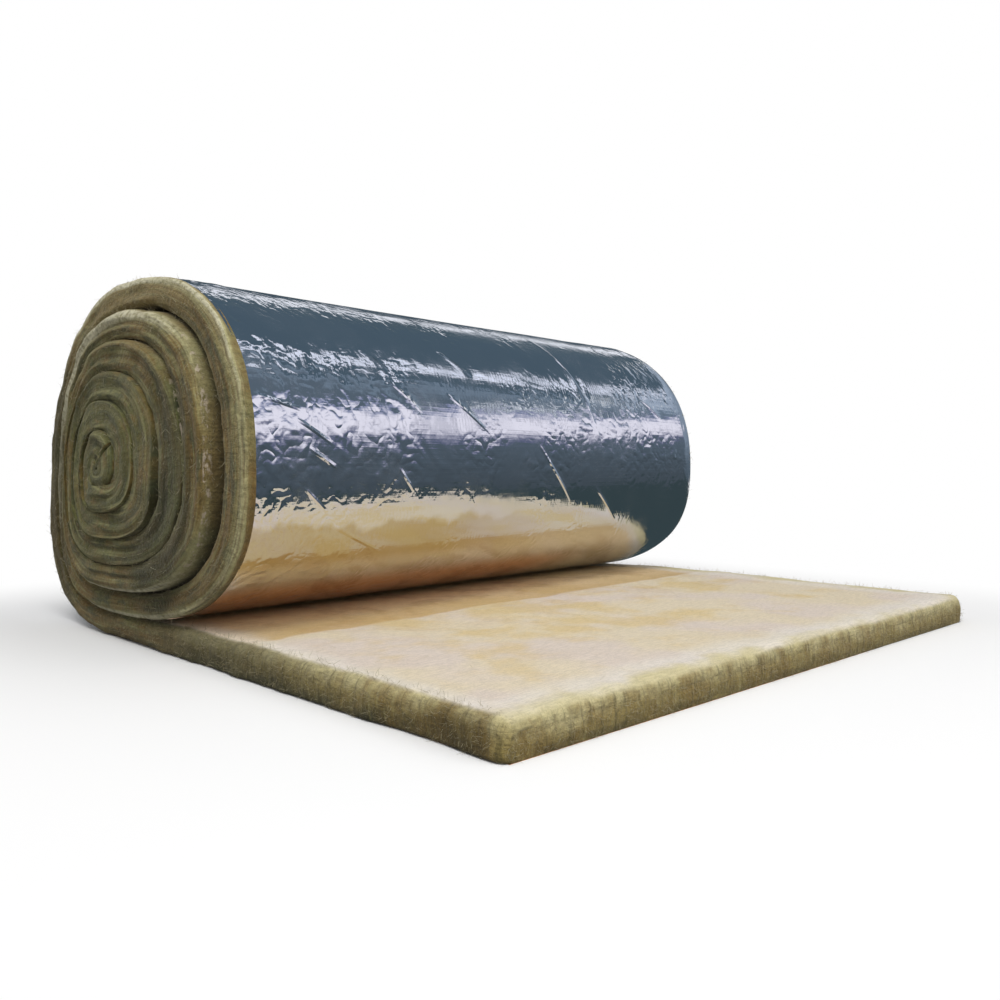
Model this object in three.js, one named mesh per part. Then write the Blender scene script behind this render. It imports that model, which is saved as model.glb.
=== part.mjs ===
// Foil-faced glass wool blanket, wound into a roll with its free end laid out flat.
// Millimetres, +Z up. +X runs from the roll to the free end, and Y is the roll's axis.
//
// The blanket is one sheet. From its free end it lies on the floor, passes under the roll and
// winds inward to a small eye. The wound turns are one solid whose two ends show the spiral:
// each turn ends in a soft rim between grooves, and the core has slid along the axis. The foil
// is bonded to the underside of the flap and the outside of the roll.

import * as THREE from 'three';
import { mergeVertices } from 'three/addons/utils/BufferGeometryUtils.js';

// Driving dimensions.
const blanketWidth = 1200; // along the roll's axis
const woolThickness = 50; // loft of the wool where nothing presses on it
const settledShare = 0.86; // share of that loft left where the roll's weight rests on it
const foilThickness = 0.5; // foil with its scrim and kraft backing
const bondGap = 0.3; // clearance between the foil and the wool

const eyeHeight = 290; // eye of the roll above the floor
const flapReach = 920; // eye of the roll to the free end
const eyeRadius = 5; // the hole that the winding leaves, where it is narrowest

const rollHeight = 588; // top of the roll above the floor, at the near end
const backReach = 323; // eye of the roll to its back, at the near end
const frontReach = 430; // eye of the roll to its front, at the near end
const crownShift = 48; // the roll's highest line lies this far before the eye
const liftOff = 40; // the blanket leaves the floor this far behind the eye
const backSag = 90; // the back bulges most this far below the eye

// The turns lie looser at the near end, which was unrolled by hand. By so much less does the
// roll rise and reach at the far end.
const taper = { height: 14, back: 9, front: 106 };

// The roll's outline at its two ends. Squareness is given quarter by quarter: 2 is an ellipse,
// and more is boxier.
const nearEnd = {
  y: -blanketWidth / 2,
  height: rollHeight,
  back: backReach,
  front: frontReach,
  squareness: { lowBack: 2.5, highBack: 2.15, highFront: 2.4, lowFront: 2.6 },
};
const farEnd = {
  y: blanketWidth / 2,
  height: rollHeight - taper.height,
  back: backReach - taper.back,
  front: frontReach - taper.front,
  squareness: { lowBack: 2.4, highBack: 2.1, highFront: 2.1, lowFront: 2.65 },
};

// Between these distances in front of the line where the blanket leaves the floor, the flap
// thickens from its settled to its full loft.
const loftStart = 100;
const loftEnd = 320;

// The ends of the turns and the cut edges.
const edgeSoftness = 9; // rounding of the wool's edges
const grooveDepth = 30; // between the end of one turn and the next
const grooveWidth = 4;
const looseGapWidth = 16; // inside the loose outer turn, at the back and the front
const coreSlide = 40; // the core stands this far out of the near end and into the far end
const foilInset = 3; // the foil stops this far short of the blanket's two long edges
const tuckRoom = 2; // the foil ends under the roll where this is left above the flap

// Fineness of the facets.
const stepsPerTurn = 48;
const flapSteps = 12;
const flapCrowding = 1.7; // above 1 draws the flap's steps together beside the roll

// Worked out from these.
const settledThickness = woolThickness * settledShare;
const windingTurns = (eyeHeight - eyeRadius) / settledThickness;
const lastStep = Math.round(windingTurns * stepsPerTurn);
const innerEndStep = lastStep - stepsPerTurn; // the sheet's inner end, at the eye
const { clamp, lerp, smoothstep } = THREE.MathUtils;

// Share of a soft edge's depth that is left at this share of its width: one bevel point
// between the two ends of the rounding.
const bevelShare = 0.3;

// Share of the outer turn's reach that is left some whole turns further in: the reach falls
// by the same amount with every turn until only the eye is left.
function shareLeft(wholeTurns, turn, outerReach) {
  return 1 - (1 - eyeRadius / outerReach) * wholeTurns / (windingTurns - turn);
}

// A quarter of a superellipse between an upright extreme (floor, top or flap line) and a
// sideways one (back or front). share runs from 0 at the upright extreme to 1 at the other.
function superellipseQuarter(upright, sideways, share, power) {
  const angle = share * Math.PI / 2;
  const outward = Math.pow(Math.sin(angle), 2 / power);
  const upward = Math.pow(Math.cos(angle), 2 / power);
  return new THREE.Vector2(
    lerp(upright.x, sideways.x, outward),
    lerp(sideways.y, upright.y, upward),
  );
}

// The wool's outer surface at one end over its first full turn, from the eye: turn 0 is on the
// floor under the roll, 0.25 at the back, 0.5 on top, 0.75 in front, and 1 on top of the flap.
function outlineOf(end, turn) {
  const floorLine = new THREE.Vector2(-liftOff, -eyeHeight);
  const back = new THREE.Vector2(-end.back, -backSag);
  const top = new THREE.Vector2(crownShift, end.height - eyeHeight);
  const front = new THREE.Vector2(end.front, 0);
  const flapLine = floorLine.clone().multiplyScalar(shareLeft(1, 0, floorLine.length()));
  const { lowBack, highBack, highFront, lowFront } = end.squareness;
  const quarter = turn * 4;
  if (quarter < 1) return superellipseQuarter(floorLine, back, quarter, lowBack);
  if (quarter < 2) return superellipseQuarter(top, back, 2 - quarter, highBack);
  if (quarter < 3) return superellipseQuarter(top, front, quarter - 2, highFront);
  return superellipseQuarter(flapLine, front, 4 - quarter, lowFront);
}

// The same anywhere along the axis: straight lines join the two ends' outlines.
function outerTurn(turn, y) {
  const share = (y - nearEnd.y) / (farEnd.y - nearEnd.y);
  return outlineOf(nearEnd, turn).lerp(outlineOf(farEnd, turn), share);
}

// The seam between two turns at a step of the winding, from the eye. Before one full turn it is
// the wool's outer surface, and in the last turn it is the wall of the eye.
function seam(step, y) {
  const wholeTurns = Math.floor(step / stepsPerTurn);
  const turn = step / stepsPerTurn - wholeTurns;
  const outer = outerTurn(turn, y);
  return outer.multiplyScalar(shareLeft(wholeTurns, turn, outer.length()));
}

// Height of the wool that lies on the floor, under the roll and on the flap.
function flapLoft(x) {
  return lerp(settledThickness, woolThickness, smoothstep(x + liftOff, loftStart, loftEnd));
}

// The flap's stations from the free end to the roll: distance from the eye and height. The last
// two round the wool's top edge at the free end.
function flapStations() {
  const softEnd = flapReach - edgeSoftness;
  const stations = [
    { x: flapReach, height: flapLoft(flapReach) - edgeSoftness },
    { x: flapReach - edgeSoftness * bevelShare,
      height: flapLoft(flapReach) - edgeSoftness * bevelShare },
  ];
  for (let step = flapSteps; step > 0; step -= 1) {
    const x = lerp(-liftOff, softEnd, Math.pow(step / flapSteps, flapCrowding));
    stations.push({ x, height: flapLoft(x) });
  }
  return stations;
}

// 0 where a seam is an open edge of the sheet and 1 where it is a groove between two turns.
function grooveShare(turns) {
  const begins = smoothstep(turns, 0.92, 1.12);
  const endsAtEye = smoothstep(turns, windingTurns - 1.1, windingTurns - 0.9);
  return begins * (1 - endsAtEye);
}

// How far the core has slid along the axis, some turns into the winding: most of it between the
// outer turns.
function slide(turns) {
  const share = clamp((turns - 0.4) / (windingTurns - 1.4), 0, 1);
  return coreSlide * (1 - (1 - share) ** 2);
}

// Half the width of the gap between two turns: widest beside the loose outer turn, at the back
// and in front, and nothing at an open edge.
function halfGap(turns) {
  const looseness = smoothstep(turns, 1, 1.15) * (1 - smoothstep(turns, 1.85, 2));
  const sideways = Math.sin(turns * 2 * Math.PI) ** 2;
  const width = lerp(grooveWidth, looseGapWidth, looseness * sideways);
  return grooveShare(turns) * width / 2;
}

// One end of the blanket, near or far: y of a point that lies depth inside the end, where the
// sheet's turns have slid.
function endPlane(end, turns, depth) {
  const inward = end === nearEnd ? 1 : -1;
  return end.y + inward * depth - slide(turns);
}

// The end of the sheet at one station, as a row of points from its outer to its inner side.
// Each side has a depth below the rim and half a gap beside it.
function endProfile(end, turns, outerSide, innerSide) {
  const rim = endPlane(end, turns, 0);
  const outer = outerSide.at(rim);
  const inner = innerSide.at(rim);
  const width = outer.distanceTo(inner);
  const soft = Math.min(edgeSoftness, width / 2 - Math.max(outerSide.halfGap, innerSide.halfGap));
  const across = (distance, depth) => {
    const point = outer.clone().lerp(inner, distance / width);
    return new THREE.Vector3(point.x, endPlane(end, turns, depth), point.y);
  };
  const onSide = (side) => {
    const y = endPlane(end, side.slideTurns, side.depth);
    const point = side.at(y);
    return new THREE.Vector3(point.x, y, point.y);
  };
  return [
    onSide(outerSide),
    across(outerSide.halfGap + soft * bevelShare, soft * bevelShare),
    across(outerSide.halfGap + soft, 0),
    across(width - innerSide.halfGap - soft, 0),
    across(width - innerSide.halfGap - soft * bevelShare, soft * bevelShare),
    onSide(innerSide),
  ];
}

// A side of the sheet that is a seam of the winding.
function seamSide(step) {
  const turns = step / stepsPerTurn;
  const groove = grooveShare(turns);
  return {
    at: (y) => seam(step, y),
    halfGap: halfGap(turns),
    depth: lerp(edgeSoftness, grooveDepth, groove),
    slideTurns: turns - groove / 2,
  };
}

// A side of the flap, which lies straight at a height above the floor.
function flapSide(x, height) {
  const place = new THREE.Vector2(x, height - eyeHeight);
  return { at: () => place.clone(), halfGap: 0, depth: edgeSoftness, slideTurns: 0 };
}

// Rows of points joined to a surface that faces along row direction x column direction, or
// away from it where flipped.
function surface(rows, flipped) {
  const corners = [];
  for (let row = 0; row + 1 < rows.length; row += 1) {
    for (let column = 0; column + 1 < rows[row].length; column += 1) {
      const here = rows[row][column];
      const onward = rows[row + 1][column];
      const opposite = rows[row + 1][column + 1];
      const beside = rows[row][column + 1];
      if (flipped) corners.push(here, opposite, onward, here, beside, opposite);
      else corners.push(here, onward, opposite, here, opposite, beside);
    }
  }
  return corners;
}

// One closed solid from surfaces that meet at their edges.
function closedGeometry(...surfaces) {
  const loose = new THREE.BufferGeometry().setFromPoints(surfaces.flat());
  const geometry = mergeVertices(loose, 1e-3);
  geometry.computeVertexNormals();
  return geometry;
}

function column(rows, index) {
  return rows.map((row) => row.at(index));
}

function paired(nearPoints, farPoints) {
  return nearPoints.map((point, index) => [point, farPoints[index]]);
}

// The wool: both ends, the outside, the flap's top, the eye's wall and the sheet's two ends.
function woolGeometry() {
  const profilesAt = (end) => {
    const flap = flapStations().map(({ x, height }) => (
      endProfile(end, 0, flapSide(x, 0), flapSide(x, height))));
    const wound = [];
    for (let step = 0; step <= innerEndStep; step += 1) {
      wound.push(endProfile(end, step / stepsPerTurn, seamSide(step), seamSide(step + stepsPerTurn)));
    }
    return { flap, wound, sheet: [...flap, ...wound] };
  };
  const near = profilesAt(nearEnd);
  const far = profilesAt(farEnd);
  const outsideCount = near.flap.length + stepsPerTurn + 1;
  const eyeStart = innerEndStep - stepsPerTurn;
  const outside = paired(column(near.sheet, 0), column(far.sheet, 0)).slice(0, outsideCount);
  const inside = paired(column(near.sheet, -1), column(far.sheet, -1));
  return closedGeometry(
    surface(near.sheet, true),
    surface(far.sheet, false),
    surface(outside, false),
    surface(inside.slice(0, near.flap.length + 1), true),
    surface(inside.slice(near.flap.length + eyeStart), true),
    surface(paired(near.sheet.at(0), far.sheet.at(0)), true),
    surface(paired(near.sheet.at(-1), far.sheet.at(-1)), false),
  );
}

// The last step of the outer turn where the foil still has its room above the flap.
function tuckStep() {
  const needed = foilThickness + 2 * bondGap + tuckRoom;
  const roomAt = (step, y) => {
    const point = seam(step, y);
    return point.y + eyeHeight - flapLoft(point.x);
  };
  let step = stepsPerTurn - 1;
  while (Math.min(roomAt(step, nearEnd.y), roomAt(step, farEnd.y)) < needed) step -= 1;
  return step;
}

// The foil at one end: rows of its outer and inner point, a bond gap outside the wool. It lies
// flat on the floor as far as the line where the blanket leaves it.
function foilRows(y) {
  const path = flapStations().map(({ x }) => new THREE.Vector2(x, -eyeHeight));
  const flatCount = path.length + 1;
  for (let step = 0; step <= tuckStep(); step += 1) path.push(seam(step, y));
  return path.map((point, index) => {
    const before = path[Math.max(index - 1, 0)];
    const after = path[Math.min(index + 1, path.length - 1)];
    const along = index < flatCount
      ? new THREE.Vector2(-1, 0)
      : after.clone().sub(before).normalize();
    const outward = new THREE.Vector2(-along.y, along.x);
    return [bondGap + foilThickness, bondGap].map((distance) => {
      const lifted = point.clone().addScaledVector(outward, distance);
      return new THREE.Vector3(lifted.x, y, lifted.y);
    });
  });
}

function foilGeometry() {
  const near = foilRows(nearEnd.y + foilInset);
  const far = foilRows(farEnd.y - foilInset);
  return closedGeometry(
    surface(near, true),
    surface(far, false),
    surface(paired(column(near, 0), column(far, 0)), false),
    surface(paired(column(near, 1), column(far, 1)), true),
    surface(paired(near.at(0), far.at(0)), true),
    surface(paired(near.at(-1), far.at(-1)), false),
  );
}

const glassWool = new THREE.MeshStandardMaterial({ color: 0xc9b98f, roughness: 1, metalness: 0 });
const aluminiumFoil = new THREE.MeshStandardMaterial({
  color: 0xc4ccd6, roughness: 0.25, metalness: 1,
});

const blanket = new THREE.Mesh(woolGeometry(), glassWool);
blanket.name = 'glass_wool_blanket';

const facing = new THREE.Mesh(foilGeometry(), aluminiumFoil);
facing.name = 'foil_facing';

// The origin is on the floor, under the middle of the whole.
const insulationRoll = new THREE.Group();
insulationRoll.add(blanket, facing);
const extent = new THREE.Box3().setFromObject(insulationRoll);
const middle = extent.getCenter(new THREE.Vector3());
insulationRoll.position.set(-middle.x, -middle.y, -extent.min.z);

export default insulationRoll;
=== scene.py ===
"""Looks for a foil-faced glass wool blanket, wound into a roll with its free end laid out flat.

Metres, +Z up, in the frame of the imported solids: +X runs from the roll to the blanket's free end
and Y is the roll's axis. The blanket is one sheet, followed from its free end, under the roll and
inward to the eye. The winding is told in turns from the line where the sheet leaves the floor:
0 is on the floor, 0.25 at the back, 0.5 on top, 0.75 in front, and every whole turn lies one
settled loft further in.
"""

import logging
import math
from dataclasses import dataclass
from enum import Enum
from functools import reduce
from operator import mul
from typing import Iterator, Sequence

import bpy
import numpy as np
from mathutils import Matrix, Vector


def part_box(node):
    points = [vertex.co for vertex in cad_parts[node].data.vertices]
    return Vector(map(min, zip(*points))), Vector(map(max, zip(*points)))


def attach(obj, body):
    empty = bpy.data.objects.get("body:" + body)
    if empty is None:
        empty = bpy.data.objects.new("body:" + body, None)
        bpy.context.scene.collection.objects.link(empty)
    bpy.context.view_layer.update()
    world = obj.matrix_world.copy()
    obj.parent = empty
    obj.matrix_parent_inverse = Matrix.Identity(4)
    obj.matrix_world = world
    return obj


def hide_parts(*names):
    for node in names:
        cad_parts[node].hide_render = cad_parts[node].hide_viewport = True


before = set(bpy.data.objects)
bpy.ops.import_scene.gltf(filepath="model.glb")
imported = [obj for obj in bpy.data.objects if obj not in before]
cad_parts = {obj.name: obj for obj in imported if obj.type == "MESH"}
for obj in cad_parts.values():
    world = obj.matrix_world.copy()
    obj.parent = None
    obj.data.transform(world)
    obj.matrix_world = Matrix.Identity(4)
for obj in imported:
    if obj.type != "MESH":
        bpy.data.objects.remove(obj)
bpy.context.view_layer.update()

LOG = logging.getLogger("insulation_roll")
MM = 0.001
WELD = 1e-6
CELL_PRIMES = (73856093, 19349663, 83492791)
SEED_PRIME = 2654435761
BIT_MIXERS = np.uint64(2246822519), np.uint64(3266489917)
FULL_TURN = 2.0 * math.pi
TRAITS = ("cut", "pit", "torn", "rim")
PLAIN = (0.0, 0.0, 0.0, 0.0)
SHEET_MAP = {"uv_map": "sheet"}

Array = np.ndarray
Tree = bpy.types.NodeTree
Point = tuple[float, float, float]
Pair = tuple[float, float]


# ---------------------------------------------------------------------------------------------
# Numbers and noise


def smoothstep(value: Array, low: float, high: float) -> Array:
    """Smooth ramp: 0 at low, 1 at high, which may be the lower, and 3t^2 - 2t^3 between."""
    t = np.clip((np.asarray(value, float) - low) / (high - low), 0.0, 1.0)
    return t * t * (3.0 - 2.0 * t)


def window(value: Array, rise: Pair, fall: Pair) -> Array:
    """1 between two smooth ramps, one that climbs over its span and one that falls."""
    return smoothstep(value, *rise) * (1.0 - smoothstep(value, *fall))


def blend(start: Array, end: Array, share: Array) -> Array:
    """Straight blend from start to end by a share from 0 to 1."""
    return start + (end - start) * share


def bell(value: Array, middle: float | Array, width: float | Array) -> Array:
    """Bell curve: 1 at its middle and 1/e at its width to either side."""
    return np.exp(-((value - middle) / width) ** 2)


def passing(turns: Array, place: float) -> Array:
    """1 where a turn passes a place on its round, falling to 0 a quarter turn either side."""
    return np.clip(np.cos((turns - place) * FULL_TURN), 0.0, 1.0)


def path_length(points: Array) -> Array:
    """Distance along a line of points from its first."""
    return np.concatenate([[0.0], np.cumsum(np.linalg.norm(np.diff(points, axis=0), axis=1))])


def cell_values(cells: Array, seed: int) -> Array:
    """One fixed random value for each whole-number cell, by mixing its coordinates' bits.

    Args:
        cells: whole numbers, with the coordinates on the last axis.
        seed: which field of values.

    Returns:
        Values from -1 to 1, one for each cell.
    """
    low_bits = np.uint64(0xFFFFFFFF)
    mixed = np.full(cells.shape[:-1], (seed * SEED_PRIME + 97) & 0xFFFFFFFF, np.uint64)
    for axis, prime in enumerate(CELL_PRIMES[:cells.shape[-1]]):
        part = (cells[..., axis].astype(np.int64) & 0xFFFFFFFF).astype(np.uint64)
        mixed = (mixed ^ ((part * np.uint64(prime)) & low_bits)) & low_bits
        mixed = (mixed * BIT_MIXERS[0]) & low_bits
        mixed ^= mixed >> np.uint64(13)
    mixed = (mixed * BIT_MIXERS[1]) & low_bits
    mixed ^= mixed >> np.uint64(16)
    return mixed.astype(float) / 2147483647.5 - 1.0


def noise(*coordinates: Array, seed: int) -> Array:
    """Smooth noise: the cells' values at a lattice's corners, blended with the quintic fade.

    Args:
        coordinates: one to three arrays of one shape, in cells.
        seed: which field of values.

    Returns:
        Values from -1 to 1, in the arrays' shape.
    """
    place = np.stack(np.broadcast_arrays(*coordinates), axis=-1).astype(float)
    base = np.floor(place)
    t = place - base
    fade_in = t * t * t * (t * (t * 6.0 - 15.0) + 10.0)
    base = base.astype(np.int64)
    total = np.zeros(place.shape[:-1])
    for corner in np.ndindex(*(2,) * place.shape[-1]):
        weight = np.prod(np.where(np.array(corner) == 1, fade_in, 1.0 - fade_in), axis=-1)
        total += weight * cell_values(base + np.array(corner), seed)
    return total


def relief(u: Array, v: Array, *layers: tuple) -> Array:
    """Sum of layers of smooth noise: for each its size along u and v, its height and its seed."""
    return sum(noise(u / long, v / wide, seed=seed) * height for long, wide, height, seed in layers)


# ---------------------------------------------------------------------------------------------
# The sheet's winding


@dataclass(frozen=True)
class EndOutline:
    """The roll's outline at one end: its height above the floor and its reach from the eye.

    Powers are those of its four quarters, from low at the back, over the top, to low in front:
    2 is an ellipse, and more is boxier.
    """

    height: float
    back: float
    front: float
    powers: tuple[float, float, float, float]


@dataclass(frozen=True)
class Winding:
    """The spiral that the sheet is wound on, and the flap that runs out of it."""

    eye_x: float
    floor_z: float
    near_y: float
    far_y: float
    near: EndOutline = EndOutline(0.588, 0.323, 0.430, (2.5, 2.15, 2.4, 2.6))
    far: EndOutline = EndOutline(0.574, 0.314, 0.324, (2.4, 2.1, 2.1, 2.65))
    eye_height: float = 0.290
    eye_radius: float = 0.005
    flap_reach: float = 0.920
    lift_off: float = 0.040
    back_sag: float = 0.090
    crown_shift: float = 0.048
    settled_loft: float = 0.043
    full_loft: float = 0.050
    loft_span: Pair = (0.100, 0.320)
    core_slide: float = 0.040
    lean: float = 0.85
    steps_per_turn: int = 216

    @property
    def turns(self) -> float:
        """How many turns the sheet makes down to the wall of the eye."""
        return (self.eye_height - self.eye_radius) / self.settled_loft

    @property
    def last_step(self) -> int:
        """The step at which the innermost seam ends, one turn after the sheet itself."""
        return round(self.turns * self.steps_per_turn)

    def share_left(self, whole: Array, part: Array, outer_reach: Array) -> Array:
        """Share of the outer reach left some whole turns in, which falls evenly to the eye's."""
        return 1.0 - (1.0 - self.eye_radius / outer_reach) * whole / (self.turns - part)

    def outline(self, end: EndOutline, part: Array) -> Array:
        """The outer turn at one end: four quarters of superellipses that share their extremes.

        On each, x goes from the upright extreme to the sideways one with sin^(2/power) of the
        quarter's angle, and z goes back with cos^(2/power).

        Args:
            end: the end's outline.
            part: the place on the turn, from 0 to 1.

        Returns:
            Points (x, z) from the eye, with the coordinates on the last axis.
        """
        floor_line = np.array([-self.lift_off, -self.eye_height])
        flap_line = floor_line * self.share_left(1.0, 0.0, float(np.hypot(*floor_line)))
        back = np.array([-end.back, -self.back_sag])
        top = np.array([self.crown_shift, end.height - self.eye_height])
        front = np.array([end.front, 0.0])
        quarter = np.asarray(part, float)[..., None] * 4.0
        quarters = ((floor_line, back, quarter), (top, back, 2.0 - quarter),
                    (top, front, quarter - 2.0), (flap_line, front, 4.0 - quarter))
        found = np.zeros(quarter.shape[:-1] + (2,))
        for number, (upright, sideways, share) in enumerate(quarters):
            angle = np.clip(share, 0.0, 1.0) * math.pi / 2.0
            outward, upward = (np.clip(wave, 0.0, 1.0) ** (2.0 / end.powers[number])
                               for wave in (np.sin(angle), np.cos(angle)))
            place = np.concatenate([blend(upright[0], sideways[0], outward),
                                    blend(sideways[1], upright[1], upward)], axis=-1)
            found = np.where(np.clip(np.floor(quarter), 0, 3) == number, place, found)
        return found

    def seam(self, turns: Array, y: Array) -> Array:
        """The line between two turns, or the wool's outer surface before one full turn.

        Straight lines along the axis join the outlines of the two ends, and each inner turn is
        the outer one drawn in towards the eye.

        Args:
            turns: turns from the lift-off line.
            y: places along the axis.

        Returns:
            Points (x, z), with the coordinates on the last axis.
        """
        turns, y = np.broadcast_arrays(np.asarray(turns, float), np.asarray(y, float))
        whole = np.floor(turns + 1e-9)
        part = np.clip(turns - whole, 0.0, 1.0)
        along = ((y - self.near_y) / (self.far_y - self.near_y))[..., None]
        outer = blend(self.outline(self.near, part), self.outline(self.far, part), along)
        share = self.share_left(whole, part, np.hypot(outer[..., 0], outer[..., 1]))
        return outer * share[..., None] + np.array([self.eye_x, self.floor_z + self.eye_height])

    def slide(self, turns: Array) -> Array:
        """How far the sheet has slid along the axis: fast at first, easing towards the core.

        The turns lean, so that at the back they have slid less.

        Args:
            turns: turns from the lift-off line.

        Returns:
            The slide in metres.
        """
        share = np.clip((turns - 0.4) / (self.turns - 1.4), 0.0, 1.0)
        held = self.lean * passing(turns, 0.25) * np.clip(1.0 - turns / self.turns, 0.0, 1.0)
        return self.core_slide * (1.0 - (1.0 - share) ** 2) * (1.0 - held)

    def loft(self, x: Array) -> Array:
        """Height of the flap at x: settled by the roll, full in front of it."""
        ahead = x - self.eye_x + self.lift_off
        return blend(self.settled_loft, self.full_loft, smoothstep(ahead, *self.loft_span))


# ---------------------------------------------------------------------------------------------
# Surfaces and meshes


@dataclass
class Patch:
    """A surface before it is welded to its neighbours.

    Its points carry their place in the sheet (metres along and across it) and four traits: how
    far the point is a cut end, how deep it lies in a crevice, how far the cut runs upright, and
    how far it lies on a rounded rim.
    """

    points: Array
    faces: list[Array]
    sheet: Array
    traits: Array


def grid_patch(points: Array, sheet: Array, traits: Array, flipped: bool = False) -> Patch:
    """A rows by columns grid of points joined by four-cornered faces.

    Args:
        points: rows x columns x 3.
        sheet: rows x columns x 2, the place in the sheet.
        traits: rows x columns x 4, or four numbers for the whole grid.
        flipped: turns the faces over; they face along columns x rows otherwise.

    Returns:
        The grid as a patch.
    """
    rows, columns = points.shape[:2]
    ids = np.arange(rows * columns).reshape(rows, columns)
    corners = [ids[:-1, :-1], ids[1:, :-1], ids[1:, 1:], ids[:-1, 1:]]
    quads = np.stack(corners if flipped else corners[::-1], axis=-1).reshape(-1, 4)
    traits = np.broadcast_to(traits, (rows, columns, 4))
    return Patch(points.reshape(-1, 3), [quads], sheet.reshape(-1, 2), traits.reshape(-1, 4))


def fan_patch(coarse: Array, fine: Array, picks: Sequence[int], flipped: bool = False) -> Patch:
    """Joins a coarse line of points to a fine one that takes the same course.

    Every stretch of the coarse line and the fine points beside it make one many-sided face.

    Args:
        coarse: points x 3.
        fine: points x 3, more of them.
        picks: for each coarse point, the fine point beside it.
        flipped: turns the faces over.

    Returns:
        The faces as a patch.
    """
    points = np.concatenate([coarse, fine])
    faces = []
    for here, (start, end) in enumerate(zip(picks[:-1], picks[1:])):
        ring = np.r_[here, len(coarse) + start:len(coarse) + end + 1, here + 1]
        faces.append((ring if flipped else ring[::-1])[None, :])
    return Patch(points, faces, points[:, :2].copy(), np.zeros((len(points), 4)))


def mesh_object(name: str, patches: Sequence[Patch], finish: bpy.types.Material,
                sharp_from: float = math.pi) -> bpy.types.Object:
    """Welds patches into one closed mesh and puts it in the scene.

    Points that fall on the same micrometre become one vertex. A face keeps what its own patch's
    points carry, so the sheet's coordinates may jump where two turns meet. A face with two of
    its corners welded becomes a triangle, and one that has shrunk to a line is left out.

    Args:
        name: the piece's name.
        patches: surfaces whose borders coincide.
        finish: its material.
        sharp_from: edges that turn by more than this angle stay sharp.

    Returns:
        The piece.
    """
    points = np.concatenate([patch.points for patch in patches])
    _, first, welded = np.unique(np.round(points / WELD).astype(np.int64), axis=0,
                                 return_index=True, return_inverse=True)
    welded = welded.reshape(-1)
    polygons: list[list[int]] = []
    corner_ids: list[Array] = []
    offset = 0
    for patch in patches:
        for block in patch.faces:
            flat = block + offset
            merged = welded[flat]
            distinct = np.array([len(set(row)) for row in merged.tolist()])
            whole = distinct == block.shape[1]
            polygons += merged[whole].tolist()
            corner_ids.append(flat[whole].reshape(-1))
            shrunk = (distinct == 3) & ~whole
            for row, ids in zip(merged[shrunk].tolist(), flat[shrunk]):
                keep = [i for i in range(len(row)) if row[i] != row[(i + 1) % len(row)]]
                polygons.append([row[i] for i in keep])
                corner_ids.append(ids[keep])
        offset += len(patch.points)
    corners = np.concatenate(corner_ids)
    mesh = bpy.data.meshes.new(name)
    mesh.from_pydata(points[first].tolist(), [], polygons)
    sheet = np.concatenate([patch.sheet for patch in patches])[corners]
    mesh.uv_layers.new(name="sheet").data.foreach_set("uv", sheet.astype(np.float32).reshape(-1))
    traits = np.concatenate([patch.traits for patch in patches])[corners]
    for column, trait in enumerate(TRAITS):
        attribute = mesh.attributes.new(trait, "FLOAT", "CORNER")
        attribute.data.foreach_set("value", traits[:, column].astype(np.float32))
    mesh.polygons.foreach_set("use_smooth", np.ones(len(polygons), bool))
    if sharp_from < math.pi:
        mesh.set_sharp_from_angle(angle=sharp_from)
    mesh.materials.append(finish)
    mesh.update()
    return placed(name, mesh)


def placed(name: str, data: bpy.types.ID) -> bpy.types.Object:
    """Puts a mesh, lamp or camera in the scene.

    Args:
        name: the object's name.
        data: the mesh, lamp or camera.

    Returns:
        The object, at the origin.
    """
    made = bpy.data.objects.new(name, data)
    bpy.context.scene.collection.objects.link(made)
    return made


def turned(made: bpy.types.Object, place: Point, heading: Vector) -> bpy.types.Object:
    """Turns a lamp or camera.

    Args:
        made: the lamp or camera.
        place: where it goes.
        heading: which way it looks.

    Returns:
        The same object.
    """
    made.location, made.rotation_mode = place, "QUATERNION"
    made.rotation_quaternion = heading.to_track_quat("-Z", "Y")
    return made


def report(piece: bpy.types.Object) -> None:
    """Says how many vertices and faces a finished piece has."""
    LOG.info("%s: %d vertices, %d faces", piece.name, len(piece.data.vertices),
             len(piece.data.polygons))


# ---------------------------------------------------------------------------------------------
# Finishes


class Sum(Enum):
    """The sums that a wire can take part in."""

    ADD = "ADD"
    TAKE = "SUBTRACT"
    TIMES = "MULTIPLY"
    POWER = "POWER"
    LARGER = "MAXIMUM"
    SINE = "SINE"
    SIZE = "ABSOLUTE"


@dataclass(frozen=True)
class Wire:
    """A node's output. Arithmetic on it adds the nodes that work the result out."""

    socket: bpy.types.NodeSocket | None

    @property
    def tree(self) -> Tree:
        """The nodes that it belongs to."""
        return self.socket.id_data

    def __getitem__(self, name: str) -> "Wire":
        """Another output of the same node."""
        return Wire(self.socket.node.outputs[name])

    def __iter__(self) -> Iterator["Wire"]:
        """All outputs of the same node."""
        return (Wire(socket) for socket in self.socket.node.outputs)

    def reckon(self, how: Sum, *others: "Wire | float") -> "Wire":
        """This value summed up with others."""
        return add(self.tree, "Math", {"operation": how.value}, dict(enumerate((self, *others))))

    def __add__(self, other: "Wire | float") -> "Wire":
        """This value plus another."""
        return self.reckon(Sum.ADD, other)

    def __sub__(self, other: "Wire | float") -> "Wire":
        """This value less another."""
        return self.reckon(Sum.TAKE, other)

    def __mul__(self, other: "Wire | float") -> "Wire":
        """This value times another."""
        return self.reckon(Sum.TIMES, other)

    def __abs__(self) -> "Wire":
        """This value without its sign."""
        return self.reckon(Sum.SIZE)

    def larger(self, other: "Wire | float") -> "Wire":
        """The larger of this value and another."""
        return self.reckon(Sum.LARGER, other)


Tone = Wire | str | tuple


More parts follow.
